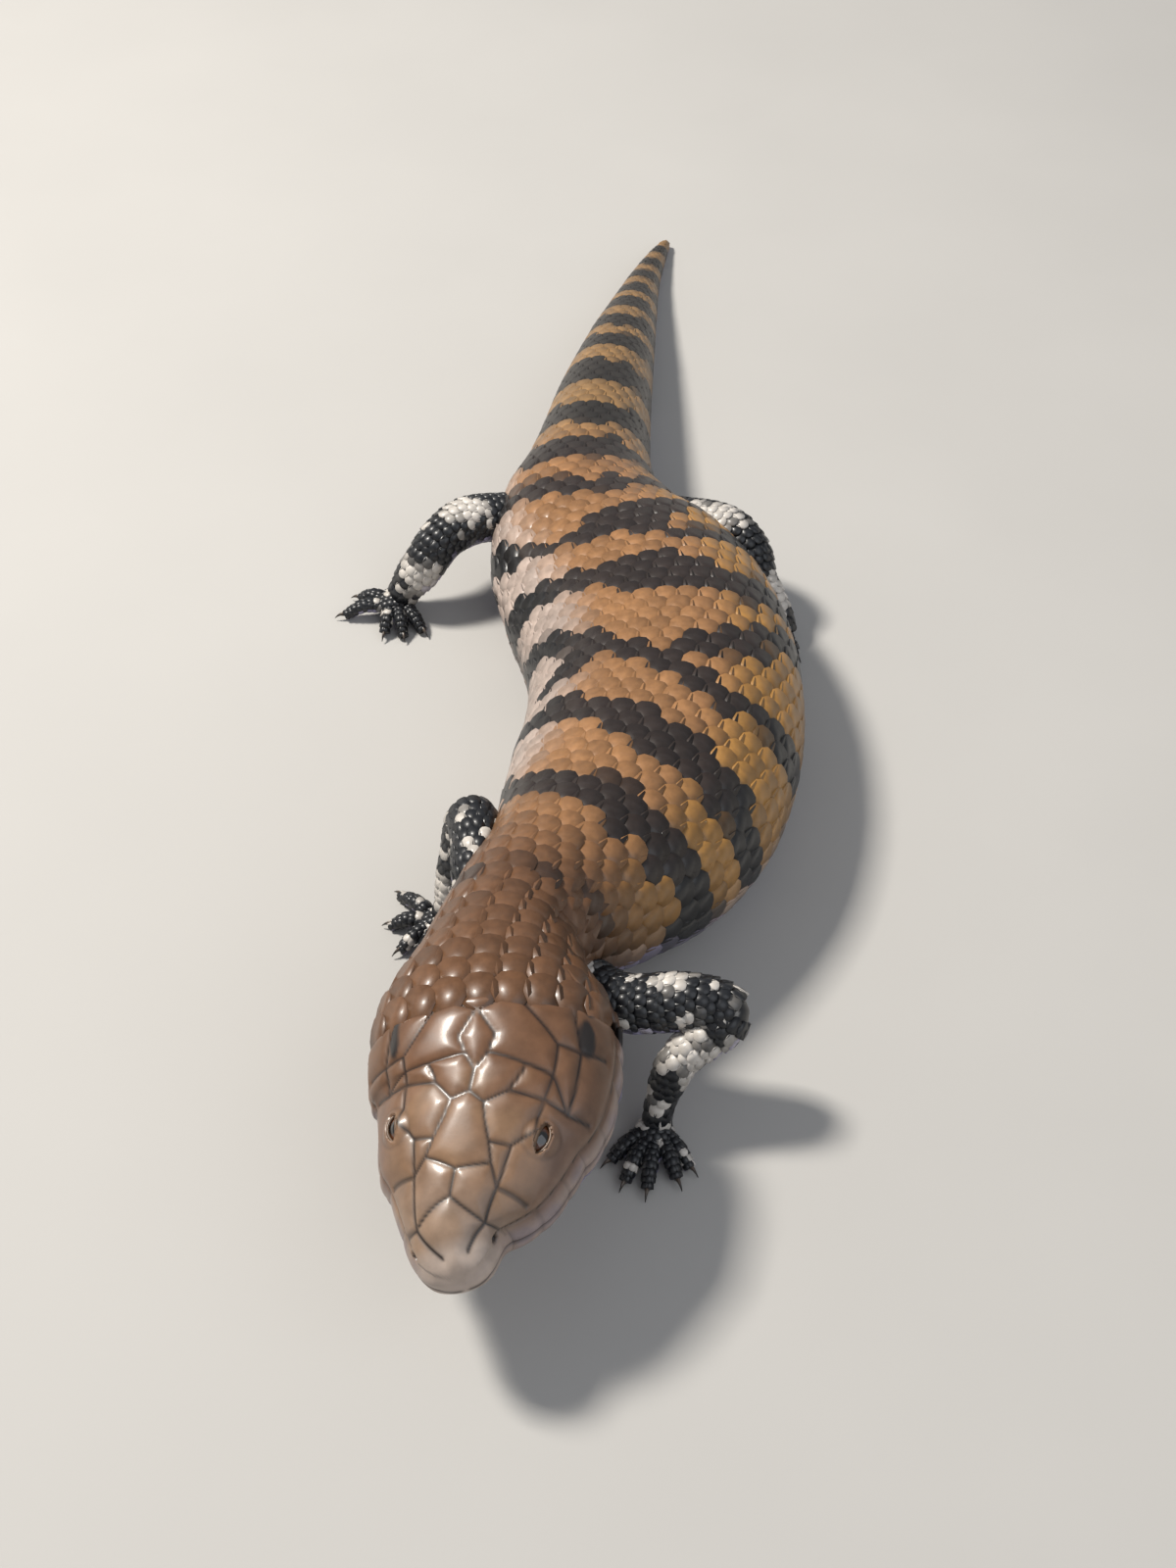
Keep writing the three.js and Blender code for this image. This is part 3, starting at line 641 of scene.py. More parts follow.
print("lids reach:", round((EYE_RADIUS + LID_THICKNESS) * LID_REACH, 1), "mm from the middle of the eye")

# %% [markdown]
# The head is brown, greyer towards the snout, with pale lips, a whitish chin and dark blotches behind. One
# flat brown would look like plastic. Here the browns turn from one to the next over a few millimetres. The
# grooves between the shields, the line of the mouth, the creases round the lids and the pits are darkened as
# painted shade, and paler patches over the front of the crown are partly tone and partly a painted sheen.

# %% Colour of the head
CROWN_BROWN = shade("795d46")
CROWN_REAR = shade("65452d")
CROWN_TONE_AND_SHEEN = shade("86684a")
SNOUT_GREY = shade("857263")
SNOUT_TIP = shade("ab9b8f")
CHEEK = shade("6e5546")
CHEEK_REAR = shade("60432d")
LIP_PALE = shade("8f7d74")
LIP_GREY = shade("776d74")
CHIN = shade("b3a7a2")
BLOTCH = shade("130f0e")
# The next four colours are painted shade: grooves, the mouth's line, pits and the creases round the lids
GROOVE_SHADE = shade("1b100a")
MOUTH_LINE_SHADE = shade("20140f")
PIT_SHADE = shade("1c1412")
LID_CREASE_SHADE = shade("2f2118")
# Dark blotches behind the crown: distance behind the snout and round the body, and half sizes
BLOTCHES = ((19.3, -7.2, 2.2, 0.75), (18.1, 8.8, 1.7, 0.8), (20.8, 9.0, 0.9, 0.6))


def head_colour(along, arc, over_lip, groove, mouth, place):
    crown = mix(CROWN_BROWN, CROWN_REAR, ramp(along, 8, 16))
    crown = mix(crown, SNOUT_GREY, ramp(7.5 - along, 0, 5))
    # Paler patches over the front of the crown are partly tone and partly a painted sheen
    patches = ramp(wander(place, size=2.5, seed=3), -0.1, 0.4)
    crown = mix(crown, CROWN_TONE_AND_SHEEN, 0.35 * patches * ramp(17 - along, 0, 4))
    side = mix(CHEEK, CHEEK_REAR, ramp(along, 8, 17))
    colour = mix(crown, side, ramp(np.abs(arc), 5.5, 8))
    lip = mix(LIP_PALE, LIP_GREY, 0.6 * ramp(wander(place, size=1.6, seed=5), -0.2, 0.4))
    colour = mix(colour, lip, ramp(LIP_HEIGHT - over_lip, 0, 1.3))
    colour = mix(colour, SNOUT_TIP, 0.8 * ramp(2.8 - along, 0, 1.2))
    ragged = 0.3 * wander(place, size=1.2, seed=7)
    for blotch_along, blotch_arc, long, wide in BLOTCHES:
        off = np.hypot((along - blotch_along) / long, (arc - blotch_arc) / wide) + ragged
        colour = mix(colour, BLOTCH, 0.97 * (1 - ramp(off, 0.7, 1.05)))
    colour = mix(colour, CHIN, ramp(-over_lip, 1.6, 3.2))
    # The grooves are darkened as painted shade, less on the lips and chin
    colour = mix(colour, GROOVE_SHADE, groove * np.where(over_lip > LIP_HEIGHT, 1.0, 0.35))
    # The line of the mouth is darkened as painted shade
    return mix(colour, MOUTH_LINE_SHADE, 0.85 * mouth)


print("blotches:", len(BLOTCHES))

# %% [markdown]
# The animal's skin and scales are glossy but not even: the sheen and the tone change from place to place. A
# painted image could hold that. Here two effects are worked out by nodes and shared as groups, a mottle
# that varies a colour and a fine grain that disturbs the light on a surface.

# %% Shared node groups


def group_of(name, inputs, outputs):
    """A new node group with its first and last node. An input is a label, a kind and a first value."""
    tree = bpy.data.node_groups.new(name, "ShaderNodeTree")
    for label, kind, value in inputs:
        socket = tree.interface.new_socket(name=label, in_out="INPUT", socket_type=kind)
        if value is not None:
            socket.default_value = value
    for label, kind in outputs:
        tree.interface.new_socket(name=label, in_out="OUTPUT", socket_type=kind)
    return tree, tree.nodes.new("NodeGroupInput"), tree.nodes.new("NodeGroupOutput")


def from_one(tree, operation):
    """A node that adds a value to one, or subtracts it from one."""
    node = tree.nodes.new("ShaderNodeMath")
    node.operation = operation
    node.inputs[0].default_value = 1.0
    return node


def mottle_group():
    """Lightens and darkens a colour in soft patches."""
    inputs = (
        ("Color", "NodeSocketColor", None),
        ("Scale", "NodeSocketFloat", 900.0),
        ("Amount", "NodeSocketFloat", 0.2),
    )
    outputs = (("Color", "NodeSocketColor"), ("Mask", "NodeSocketFloat"))
    tree, start, end = group_of("Soft mottle", inputs, outputs)
    place = tree.nodes.new("ShaderNodeTexCoord")
    cloud = tree.nodes.new("ShaderNodeTexNoise")
    cloud.inputs["Detail"].default_value = 4
    spread = tree.nodes.new("ShaderNodeMapRange")
    spread.inputs["From Min"].default_value = 0.3
    spread.inputs["From Max"].default_value = 0.7
    low = from_one(tree, "SUBTRACT")
    high = from_one(tree, "ADD")
    scale = tree.nodes.new("ShaderNodeVectorMath")
    scale.operation = "SCALE"
    link = tree.links.new
    link(place.outputs["Object"], cloud.inputs["Vector"])
    link(start.outputs["Scale"], cloud.inputs["Scale"])
    link(cloud.outputs["Fac"], spread.inputs["Value"])
    link(start.outputs["Amount"], low.inputs[1])
    link(start.outputs["Amount"], high.inputs[1])
    link(low.outputs[0], spread.inputs["To Min"])
    link(high.outputs[0], spread.inputs["To Max"])
    link(start.outputs["Color"], scale.inputs[0])
    link(spread.outputs["Result"], scale.inputs["Scale"])
    link(scale.outputs["Vector"], end.inputs["Color"])
    link(cloud.outputs["Fac"], end.inputs["Mask"])
    return tree


def grain_group():
    """A normal disturbed by fine grain."""
    inputs = (
        ("Scale", "NodeSocketFloat", 4000.0),
        ("Strength", "NodeSocketFloat", 0.2),
        ("Depth", "NodeSocketFloat", 0.00002),
    )
    tree, start, end = group_of("Fine grain", inputs, (("Normal", "NodeSocketVector"),))
    place = tree.nodes.new("ShaderNodeTexCoord")
    cells = tree.nodes.new("ShaderNodeTexNoise")
    cells.inputs["Detail"].default_value = 6
    bump = tree.nodes.new("ShaderNodeBump")
    link = tree.links.new
    link(place.outputs["Object"], cells.inputs["Vector"])
    link(start.outputs["Scale"], cells.inputs["Scale"])
    link(cells.outputs["Fac"], bump.inputs["Height"])
    link(start.outputs["Strength"], bump.inputs["Strength"])
    link(start.outputs["Depth"], bump.inputs["Distance"])
    link(bump.outputs["Normal"], end.inputs["Normal"])
    return tree


MOTTLE = mottle_group()
GRAIN = grain_group()
print("node groups:", len(bpy.data.node_groups))

# %% Materials


def add_group(nodes, tree, values):
    """A node that runs a shared group, with values for some of its inputs."""
    node = nodes.new("ShaderNodeGroup")
    node.node_tree = tree
    for label, value in values.items():
        node.inputs[label].default_value = value
    return node


def mottled_material(name, scale, amount, gloss):
    """A material with a soft mottle, and its mottle node. gloss is the lowest and highest roughness."""
    material = bpy.data.materials.new(name)
    material.use_nodes = True
    surface = material.node_tree.nodes["Principled BSDF"]
    link = material.node_tree.links.new
    patches = add_group(material.node_tree.nodes, MOTTLE, {"Scale": scale, "Amount": amount})
    rough = material.node_tree.nodes.new("ShaderNodeMapRange")
    rough.inputs["To Min"].default_value = gloss[0]
    rough.inputs["To Max"].default_value = gloss[1]
    link(patches.outputs["Color"], surface.inputs["Base Color"])
    link(patches.outputs["Mask"], rough.inputs["Value"])
    link(rough.outputs["Result"], surface.inputs["Roughness"])
    return material, patches


def tinted_material(name, mottle, grain, gloss, coat, coat_roughness=0.18):
    """A mottled material whose colour is the Tint of its piece, with a fine grain under a clear coat."""
    material, patches = mottled_material(name, *mottle, gloss)
    nodes = material.node_tree.nodes
    link = material.node_tree.links.new
    surface = nodes["Principled BSDF"]
    tint = nodes.new("ShaderNodeAttribute")
    tint.attribute_name = "Tint"
    fine = add_group(nodes, GRAIN, {"Scale": grain[0], "Strength": grain[1]})
    link(tint.outputs["Color"], patches.inputs["Color"])
    link(fine.outputs["Normal"], surface.inputs["Normal"])
    surface.inputs["Coat Weight"].default_value = coat
    surface.inputs["Coat Roughness"].default_value = coat_roughness
    return material


skin_material = tinted_material("Shielded skin", (700, 0.16), (3500, 0.25), (0.34, 0.55), 0.22)
scale_material = tinted_material("Glossy scales", (1500, 0.16), (6000, 0.25), (0.3, 0.55), 0.16)
claw_material = tinted_material("Dark claw", (3000, 0.2), (6000, 0.2), (0.3, 0.5), 0.2)
lid_material = tinted_material("Eyelid", (2500, 0.15), (7000, 0.4), (0.4, 0.6), 0.1)
print("materials:", len(bpy.data.materials))

# %% [markdown]
# The skin of the animal has no seam from snout to tail. A coarse cage with subdivision would round the
# grooves away, so the skin is a fine grid of rings. On the head the rings are close together and all the
# relief is real surface. Behind it the rings are further apart, for the skin lies there a little lower,
# under the scales.

# %% Meshes from points
SIDES = 240


def make_mesh(name, points, faces, tint, unwrap, material):
    """An object from points in millimetres, with a colour at each point and an unwrap at each corner."""
    mesh = bpy.data.meshes.new(name)
    mesh.from_pydata((np.asarray(points) * MM).tolist(), [], faces)
    mesh.polygons.foreach_set("use_smooth", np.ones(len(mesh.polygons), bool))
    colour = mesh.attributes.new("Tint", "FLOAT_COLOR", "POINT")
    colour.data.foreach_set("color", np.column_stack([tint, np.ones(len(tint))]).astype(np.float32).ravel())
    corners = np.zeros(len(mesh.loops), np.int32)
    mesh.loops.foreach_get("vertex_index", corners)
    layer = mesh.uv_layers.new(name="OFBake")
    layer.data.foreach_set("uv", np.asarray(unwrap)[corners].astype(np.float32).ravel())
    mesh.materials.append(material)
    piece = bpy.data.objects.new(name, mesh)
    bpy.context.scene.collection.objects.link(piece)
    return piece


def tube_faces(rows, columns):
    """Faces of a tube of closed rings, and a fan at each end to one more point there."""
    index = np.arange(rows * columns).reshape(rows, columns)
    a = index[:-1]
    b = np.roll(a, -1, axis=1)
    d = index[1:]
    c = np.roll(d, -1, axis=1)
    faces = np.stack([a, b, c, d], -1).reshape(-1, 4).tolist()
    first = rows * columns
    last_ring = first - columns
    faces += [[first, (k + 1) % columns, k] for k in range(columns)]
    faces += [[first + 1, last_ring + k, last_ring + (k + 1) % columns] for k in range(columns)]
    return faces


print("corners of a ring:", SIDES)

# %% Grid of the trunk
HEAD_END = 22.5
HEAD_RING_STEP = 0.17
BODY_RING_STEP = 1.2
TIP_RINGS = (0.02, 0.06, 0.12, 0.2, 0.3, 0.42, 0.56)


def ring_places():
    """Distances of the rings behind the snout."""
    head = np.concatenate([TIP_RINGS, np.arange(0.7, HEAD_END, HEAD_RING_STEP)])
    body = np.arange(HEAD_END, BODY_LENGTH - 0.3, BODY_RING_STEP)
    return np.concatenate([head, body, [BODY_LENGTH - 0.2]])


def trunk_grid():
    """Distance behind the snout, angle, distances from the crown and over the mouth, of every point."""
    places = ring_places()
    degrees = np.arange(SIDES) * 360 / SIDES
    along = np.repeat(places, SIDES)
    turn = np.tile(degrees, len(places))
    rings = skin_point(along, turn).reshape(len(places), SIDES, 3)
    steps = np.linalg.norm(np.roll(rings, -1, axis=1) - rings, axis=2)
    total = steps.sum(1)[:, None]
    run = np.concatenate([np.zeros((len(places), 1)), np.cumsum(steps, axis=1)[:, :-1]], axis=1)
    left_half = run[:, SIDES // 2][:, None]
    arc = np.where(np.arange(SIDES) <= SIDES // 2, run, run - total)
    mouth_column = int(np.interp(MOUTH_ANGLE, degrees, np.arange(SIDES)))
    mouth_left = run[:, mouth_column][:, None]
    mouth_right = total - run[:, SIDES - mouth_column][:, None]
    over_lip = np.where(arc >= 0, mouth_left - arc, mouth_right + arc)
    half_round = np.where(arc >= 0, left_half, total - left_half)
    return along, turn, arc.ravel(), over_lip.ravel(), half_round.ravel(), len(places)


def trunk_unwrap(along, degrees):
    return np.column_stack([0.01 + 0.98 * along / BODY_LENGTH, 0.01 + 0.58 * (((degrees + 180) % 360) / 360)])


print("rings:", len(ring_places()))

# %% Skin of the trunk
COAT_DEPTH = 0.3
COAT_START = (20.1, 21.3)
GAP_SHADE = 0.14
SHADE_ALONG = (20, 24)
TINT_BLEND = (20.3, 21.6)
TIP_EASE = (0.1, 1.2)
RELIEF_END = 22


def add_features(face, tint):
    """Lids, ears and nostrils, in the points of the head and in their colours."""
    for side in ("left", "right"):
        face, rim = raise_lids(face, EYES[side])
        # The crease round the lids is darkened as painted shade
        tint = mix(tint, LID_CREASE_SHADE, 0.3 * rim)
        for seat, pit_sizes in ((EARS[side], EAR_PIT), (NOSTRILS[side], NOSTRIL_PIT)):
            face, pit = press_pit(face, seat, *pit_sizes)
            # The inside of each pit is darkened as painted shade
            tint = mix(tint, PIT_SHADE, ramp(pit, 0, 0.4))
    return face, tint


def skin_of_trunk(material):
    along, turn, arc, over_lip, half_round, rows = trunk_grid()
    relief, groove, mouth = head_relief(along, arc, over_lip)
    under_coat = -COAT_DEPTH * ramp(along, *COAT_START)
    points = skin_point(along, turn)
    _, _, _, outward = skin_frame(np.clip(along, 0.3, BODY_LENGTH - 0.3), turn)
    height = relief * ramp(along, *TIP_EASE) * (along < RELIEF_END) + under_coat
    points = points + outward * height[:, None]
    colour = trunk_colour(along, arc, half_round, points)
    colour = colour * np.interp(along, SHADE_ALONG, (0.75, GAP_SHADE))[:, None]
    head = along < SHADE_ALONG[1]
    tint = head_colour(along[head], arc[head], over_lip[head], groove[head], mouth[head], points[head])
    tint = mix(tint, colour[head], ramp(along[head], *TINT_BLEND))
    points[head], colour[head] = add_features(points[head], tint)
    points[:, 2] = np.maximum(points[:, 2], FLOOR_GAP)
    points = np.vstack([points, points[:SIDES].mean(0), points[-SIDES:].mean(0)])
    colour = np.vstack([colour, colour[:1], colour[-1:]])
    unwrap = trunk_unwrap(along, turn)
    unwrap = np.vstack([unwrap, unwrap[:1], unwrap[-1:]])
    faces = [face[::-1] for face in tube_faces(rows, SIDES)]
    return make_mesh("skin", points, faces, colour, unwrap, material)


skin = skin_of_trunk(skin_material)
print("skin faces:", len(skin.data.polygons))

# %% [markdown]
# A skink's scale is a smooth, rounded, overlapping plate. It could be a flat card, but that has no
# thickness and no closed surface. One scale is modelled once: a short cylinder whose top is inset twice and
# then poked into a low dome. It is drawn into a rounded plate, narrow in front where its neighbours cover
# it and broad at its free rear edge.

# %% One scale
RIM = 12
PLATE_DEPTH = 0.12
# Steps of the dome: how far inward, and how far up
DOME_STEPS = ((0.07, 0.075), (0.17, 0.06))
DOME_PEAK = 0.02
CORNER_FULLNESS = 0.07
FRONT_NARROWING = 0.3


def pick(*objects):
    """Selects these objects alone, with the first as the active one."""
    bpy.ops.object.select_all(action="DESELECT")
    for one in objects:
        one.select_set(True)
    bpy.context.view_layer.objects.active = objects[0]


def take_shape(model):
    """The points and faces of an object, which is then removed."""
    points = np.array([v.co for v in model.data.vertices])
    faces = [list(face.vertices) for face in model.data.polygons]
    bpy.data.objects.remove(model)
    return points, faces


def one_scale():
    bpy.ops.mesh.primitive_cylinder_add(vertices=RIM, radius=0.5, depth=PLATE_DEPTH)
    plate = bpy.context.object
    for face in plate.data.polygons:
        face.select = face.normal.z > 0.9
    bpy.ops.object.mode_set(mode="EDIT")
    bpy.ops.mesh.select_mode(type="FACE")
    for inward, rise in DOME_STEPS:
        bpy.ops.mesh.inset(thickness=inward, depth=rise)
    bpy.ops.mesh.poke(offset=DOME_PEAK)
    bpy.ops.object.mode_set(mode="OBJECT")
    points, faces = take_shape(plate)
    x = points[:, 0]
    y = points[:, 1]
    squared = 1 + CORNER_FULLNESS * np.sin(2 * np.arctan2(np.abs(y), np.abs(x))) ** 2
    narrow = 1 - FRONT_NARROWING * np.clip(-y * 2, 0, 1)
    points[:, 0] = x * squared * narrow
    points[:, 1] = y * squared
    return points, faces


PLATE, PLATE_FACES = one_scale()
print("faces of one scale:", len(PLATE_FACES))

# %% Laying copies of one shape
# Heights over a plate's flat edge, and how much of the colour is kept at each. The rim is darkened as painted
# shade where the scales meet, partly also their darker borders, and the top of the dome is a little lighter
# as a painted highlight
SHADE_HEIGHTS = (0, 0.07, 0.13)
PAINTED_SHADE_AND_HIGHLIGHT = (0.22, 0.8, 1.04)
SCALE_PATCH = 0.003


def lay_copies(name, shape, shape_faces, seats, colours, roots, material, patch=SCALE_PATCH):
    """Copies of one shape as one mesh. The seats are places, directions across, along and out, and sizes."""
    place, across, along, out, sizes = seats
    size_x, size_y, size_z = (shape * sizes[:, None]).transpose(2, 0, 1)[..., None]
    points = place[:, None] + across[:, None] * size_x + along[:, None] * size_y + out[:, None] * size_z
    points = points.reshape(-1, 3)
    points[:, 2] = np.maximum(points[:, 2], FLOOR_GAP)
    faces = []
    for k in range(len(place)):
        start = k * len(shape)
        faces.extend([[start + v for v in face] for face in shape_faces])
    # Painted shade towards each copy's low edge and a slight painted highlight at its top
    painted_light_share = np.interp(shape[:, 2] - PLATE_DEPTH / 2, SHADE_HEIGHTS, PAINTED_SHADE_AND_HIGHLIGHT)
    tint = (colours[:, None] * painted_light_share[None, :, None]).reshape(-1, 3)
    spread = shape[:, :2] / np.abs(shape[:, :2]).max() * patch / 2
    unwrap = (roots[:, None] + spread[None]).reshape(-1, 2)
    return make_mesh(name, points, faces, np.clip(tint, 0, 1), unwrap, material)


print("points of one scale:", len(PLATE))

# %% [markdown]
# The scales run in rows round the trunk, from the back of the head to the tip of the tail. They could be
# scattered by a particle system, but that has no say over rows. Here each row starts at the middle of the
# back, which leans to the left behind the crown, and every second row is set over by half a scale. On the
# nape the scales are broad and stand in pairs. All the scales lean back, so that the free edge of each
# stands over the next.

# %% Rows of the trunk
ROW_RATIO = 0.7
LEVEL_ROWS_END = 33
WIDTH_PLACES = (8, 20, 30, 40, 55, 80, 100, 112, 125, 140, 150, 159)
WIDTHS = (1.7, 2.6, 2.5, 2.25, 2.2, 2.1, 1.9, 1.75, 1.45, 1.1, 0.8, 0.5)
MIDDLE_PLACES = (12.7, 17, 20, 24, 30, 57, 100)
MIDDLE_SHIFTS = (0, 0.6, 1.2, 1.5, 2, 2, 0)
FIRST_ROW = 9.0
LAST_ROW_GAP = 0.6
CROWN_BACK = 20.3
THROAT_ANGLE = 112


def middle_shift(along):
    """How far the middle row of the back lies to the left of the crown line."""
    return np.interp(along, MIDDLE_PLACES, MIDDLE_SHIFTS)


def row_of_scales(along, number, first_angle):
    """Angles, distances round the body and widths of one row of scales."""
    left = arcs_round(along, 1)
    right = arcs_round(along, -1)
    middle = middle_shift(along)
    wanted = np.interp(along, WIDTH_PLACES, WIDTHS)
    offset = 0.5 if along < LEVEL_ROWS_END or number % 2 else 0.0
    rows = []
    for way in (1, -1):
        reach = left[-1] - middle if way > 0 else right[-1] + middle
        count = max(3, round(reach / wanted))
        width = reach / count
        for k in range(count):
            if way < 0 and k + offset == 0:
                continue
            signed = middle + way * (k + offset) * width
            arcs = left if signed > 0 else right
            angle = np.interp(abs(signed), arcs, ARC_ANGLES)
            if angle >= first_angle:
                rows.append((along, np.copysign(angle, signed), signed, width, arcs[-1]))
    return rows


def trunk_rows():
    """All the rows. Ahead of the crown's rear edge, only the throat has scales."""
    rows = []
    along = FIRST_ROW
    number = 0
    while along < BODY_LENGTH - LAST_ROW_GAP:
        first_angle = 0 if along > CROWN_BACK else THROAT_ANGLE
        rows += row_of_scales(along, number, first_angle)
        along += ROW_RATIO * float(np.interp(along, WIDTH_PLACES, WIDTHS))
        number += 1
    return np.array(rows)


ROWS = trunk_rows()
print("places for scales on the trunk:", len(ROWS))

# %% Scales of the trunk
SEAT_DEPTH = 0.62
EAR_CLEARING = 1.6
OVERLAP = 1.6
TILT = math.radians(6)
FILL = 0.97
TONES = (0.8, 1.14)
DOME_PLACES = (20, 27, 42)
DOME_HEIGHTS = (0.5, 0.62, 1.0)
REGIONS = {"neck": (0, 40), "chest": (40, 68), "loin": (68, 106.5), "tail": (106.5, 200)}


def away_from_ears(points):
    clear = np.ones(len(points), bool)
    for seat in EARS.values():
        clear &= np.linalg.norm(points - seat[0], axis=1) >= EAR_CLEARING
    return clear


def tilted(ahead, out, tilt):
    """The directions ahead and out, after the rear edge is raised."""
    return unit(ahead + np.tan(tilt) * out), unit(out - np.tan(tilt) * ahead)


def trunk_scales(material):
    along, turn, arc, width, half_round = ROWS.T
    place, across, back, out = skin_frame(along, turn, -COAT_DEPTH * SEAT_DEPTH)
    clear = away_from_ears(place)
    lie, up = tilted(back, out, TILT)
    dome = np.interp(along, DOME_PLACES, DOME_HEIGHTS)
    sizes = np.column_stack([width * FILL, ROW_RATIO * width * OVERLAP, dome * (0.5 + 0.8 * width)])
    colour = trunk_colour(along, arc, half_round, place)
    colour = colour * chance.uniform(*TONES, len(ROWS))[:, None]
    root = trunk_unwrap(along, turn)
    pieces = []
    for name, (low, high) in REGIONS.items():
        take = clear & (along >= low) & (along < high)
        seats = (place[take], across[take], lie[take], up[take], sizes[take])
        looks = (colour[take], root[take], material)
        pieces.append(lay_copies(name + "_scales", PLATE, PLATE_FACES, seats, *looks))
        print(name, "scales:", int(take.sum()))
    return pieces


coat = trunk_scales(scale_material)

# %% [markdown]
# A skink's legs are short and thick, with five toes. Each could be pushed out of the trunk's grid, but then
# the grid would be stretched. Here each leg is a tube along a smooth line through its joints, with a foot
# and toes. The joints, radii and toes are those of the solids. The parts are joined and remeshed into one
# surface.

# %% Joints of the legs
# A joint is a place and a radius. The palm is a place, half sizes and a turn in degrees. A toe is the floor
# plan of its start and end, and how far it is bowed up.
LEGS = {
    "foreleg_left": {
        "joints": [
            ((-1.0, -43.8, 8.2), 2.5), ((4.4, -48.2, 9.2), 2.3), ((9.8, -49.2, 10.4), 2.3),
            ((12.9, -50.0, 10.0), 2.1), ((9.0, -52.6, 7.0), 1.5), ((7.5, -54.4, 3.4), 1.0),
            ((7.3, -55.2, 1.4), 1.1),
        ],
        "palm": ((7.1, -55.8, 1.1), (1.6, 1.9, 1.15), 8),
        "toes": [
            ((6.1, -55.7), (3.4, -57.9), 0.4), ((6.4, -56.5), (4.6, -60.0), 0.6),
            ((7.0, -56.8), (6.4, -60.8), 0.6), ((7.7, -56.6), (8.9, -59.8), 0.6),
            ((8.0, -55.9), (10.0, -58.6), 0.4),
        ],
    },
    "foreleg_right": {
        "joints": [
            ((-3.8, -38.6, 8.4), 2.5), ((-7.4, -36.2, 9.6), 2.2), ((-8.0, -31.6, 11.0), 2.2),
            ((-8.6, -29.2, 10.6), 2.1), ((-9.7, -30.6, 6.8), 1.75), ((-10.6, -32.2, 3.2), 1.3),
            ((-11.1, -32.6, 1.4), 1.1),
        ],
        "palm": ((-11.8, -32.8, 1.1), (1.6, 1.9, 1.15), -50),
        "toes": [
            ((-11.3, -33.7), (-11.2, -36.3), 0.3), ((-12.0, -33.8), (-13.3, -36.6), 0.5),
            ((-12.6, -33.4), (-15.0, -35.3), 0.5), ((-13.0, -32.6), (-15.9, -32.4), 0.5),
            ((-12.6, -31.7), (-15.3, -29.0), 0.4),
        ],
    },
    "hindleg_right": {
        "joints": [
            ((-0.6, 19.2, 6.0), 2.5), ((-6.4, 17.1, 7.0), 2.25), ((-10.6, 15.0, 8.0), 2.35),
            ((-13.0, 13.0, 7.6), 2.1), ((-15.2, 11.2, 5.2), 1.95), ((-16.9, 10.7, 2.8), 1.45),
            ((-17.4, 10.6, 1.5), 1.2),
        ],
        "palm": ((-18.0, 10.4, 1.15), (1.7, 2.3, 1.2), -48),
        "toes": [
            ((-17.0, 9.5), (-15.2, 6.9), 0.3), ((-17.7, 9.0), (-17.1, 6.2), 0.5),
            ((-18.5, 9.0), (-19.0, 6.4), 0.5), ((-19.3, 9.8), (-23.2, 9.1), 0.6),
            ((-19.2, 10.9), (-21.8, 11.7), 0.4),
        ],
    },
    "hindleg_left": {
        "joints": [
            ((4.6, 18.8, 6.0), 2.5), ((10.4, 16.3, 7.1), 2.3), ((15.2, 13.7, 8.1), 2.35),
            ((17.6, 11.4, 7.5), 2.05), ((18.9, 8.9, 5.2), 1.65), ((20.6, 6.8, 3.0), 1.3),
            ((21.2, 6.0, 1.5), 1.2),
        ],
        "palm": ((20.6, 5.2, 1.15), (1.6, 2.2, 1.2), -8),
        "toes": [
            ((19.7, 4.9), (17.7, 3.5), 0.2), ((19.9, 4.2), (18.3, 1.5), 0.4),
            ((20.4, 3.9), (19.8, 0.2), 0.5), ((21.0, 4.0), (21.5, 0.7), 0.5),
            ((21.4, 4.9), (22.4, 3.1), 0.3),
        ],
    },
}
TOE_RADIUS = 0.55
TOE_START_HEIGHT = 1.3
TOE_SINK = 0.06
# Radii at a toe's start, middle and end, as shares of TOE_RADIUS
TOE_TAPER = (1.25, 1.05, 0.8)


def joints_of(plan):
    """Places and radii of a leg's joints."""
    return [place for place, _ in plan["joints"]], [radius for _, radius in plan["joints"]]


print("legs:", len(LEGS))

# %% Smooth lines through joints


def blend_points(p, q, start, end, t):
    """The point between p and q that a knot value t asks for."""
    return (p * (end - t) + q * (t - start)) / (end - start)


def curve_point(p, knots, t):
    """The point at a knot value t between the middle two of four points."""
    a = blend_points(p[0], p[1], knots[0], knots[1], t)
    b = blend_points(p[1], p[2], knots[1], knots[2], t)
    c = blend_points(p[2], p[3], knots[2], knots[3], t)
    front = blend_points(a, b, knots[0], knots[2], t)
    rear = blend_points(b, c, knots[1], knots[3], t)
    return blend_points(front, rear, knots[1], knots[2], t)


def smooth_line(places, steps):
    """Points on a centripetal curve through the places, with each point's share of the way."""
    p = np.array(places, float)
    p = np.vstack([2 * p[0] - p[1], p, 2 * p[-1] - p[-2]])
    shares = np.linspace(0, len(places) - 1, steps + 1)
    line = []
    for share in shares:
        i = min(int(share), len(places) - 2)
        four = p[i:i + 4]
        strides = np.sqrt(np.linalg.norm(np.diff(four, axis=0), axis=1))
        knots = running(strides)
        line.append(curve_point(four, knots, knots[1] + (share - i) * strides[1]))
    return np.array(line), shares


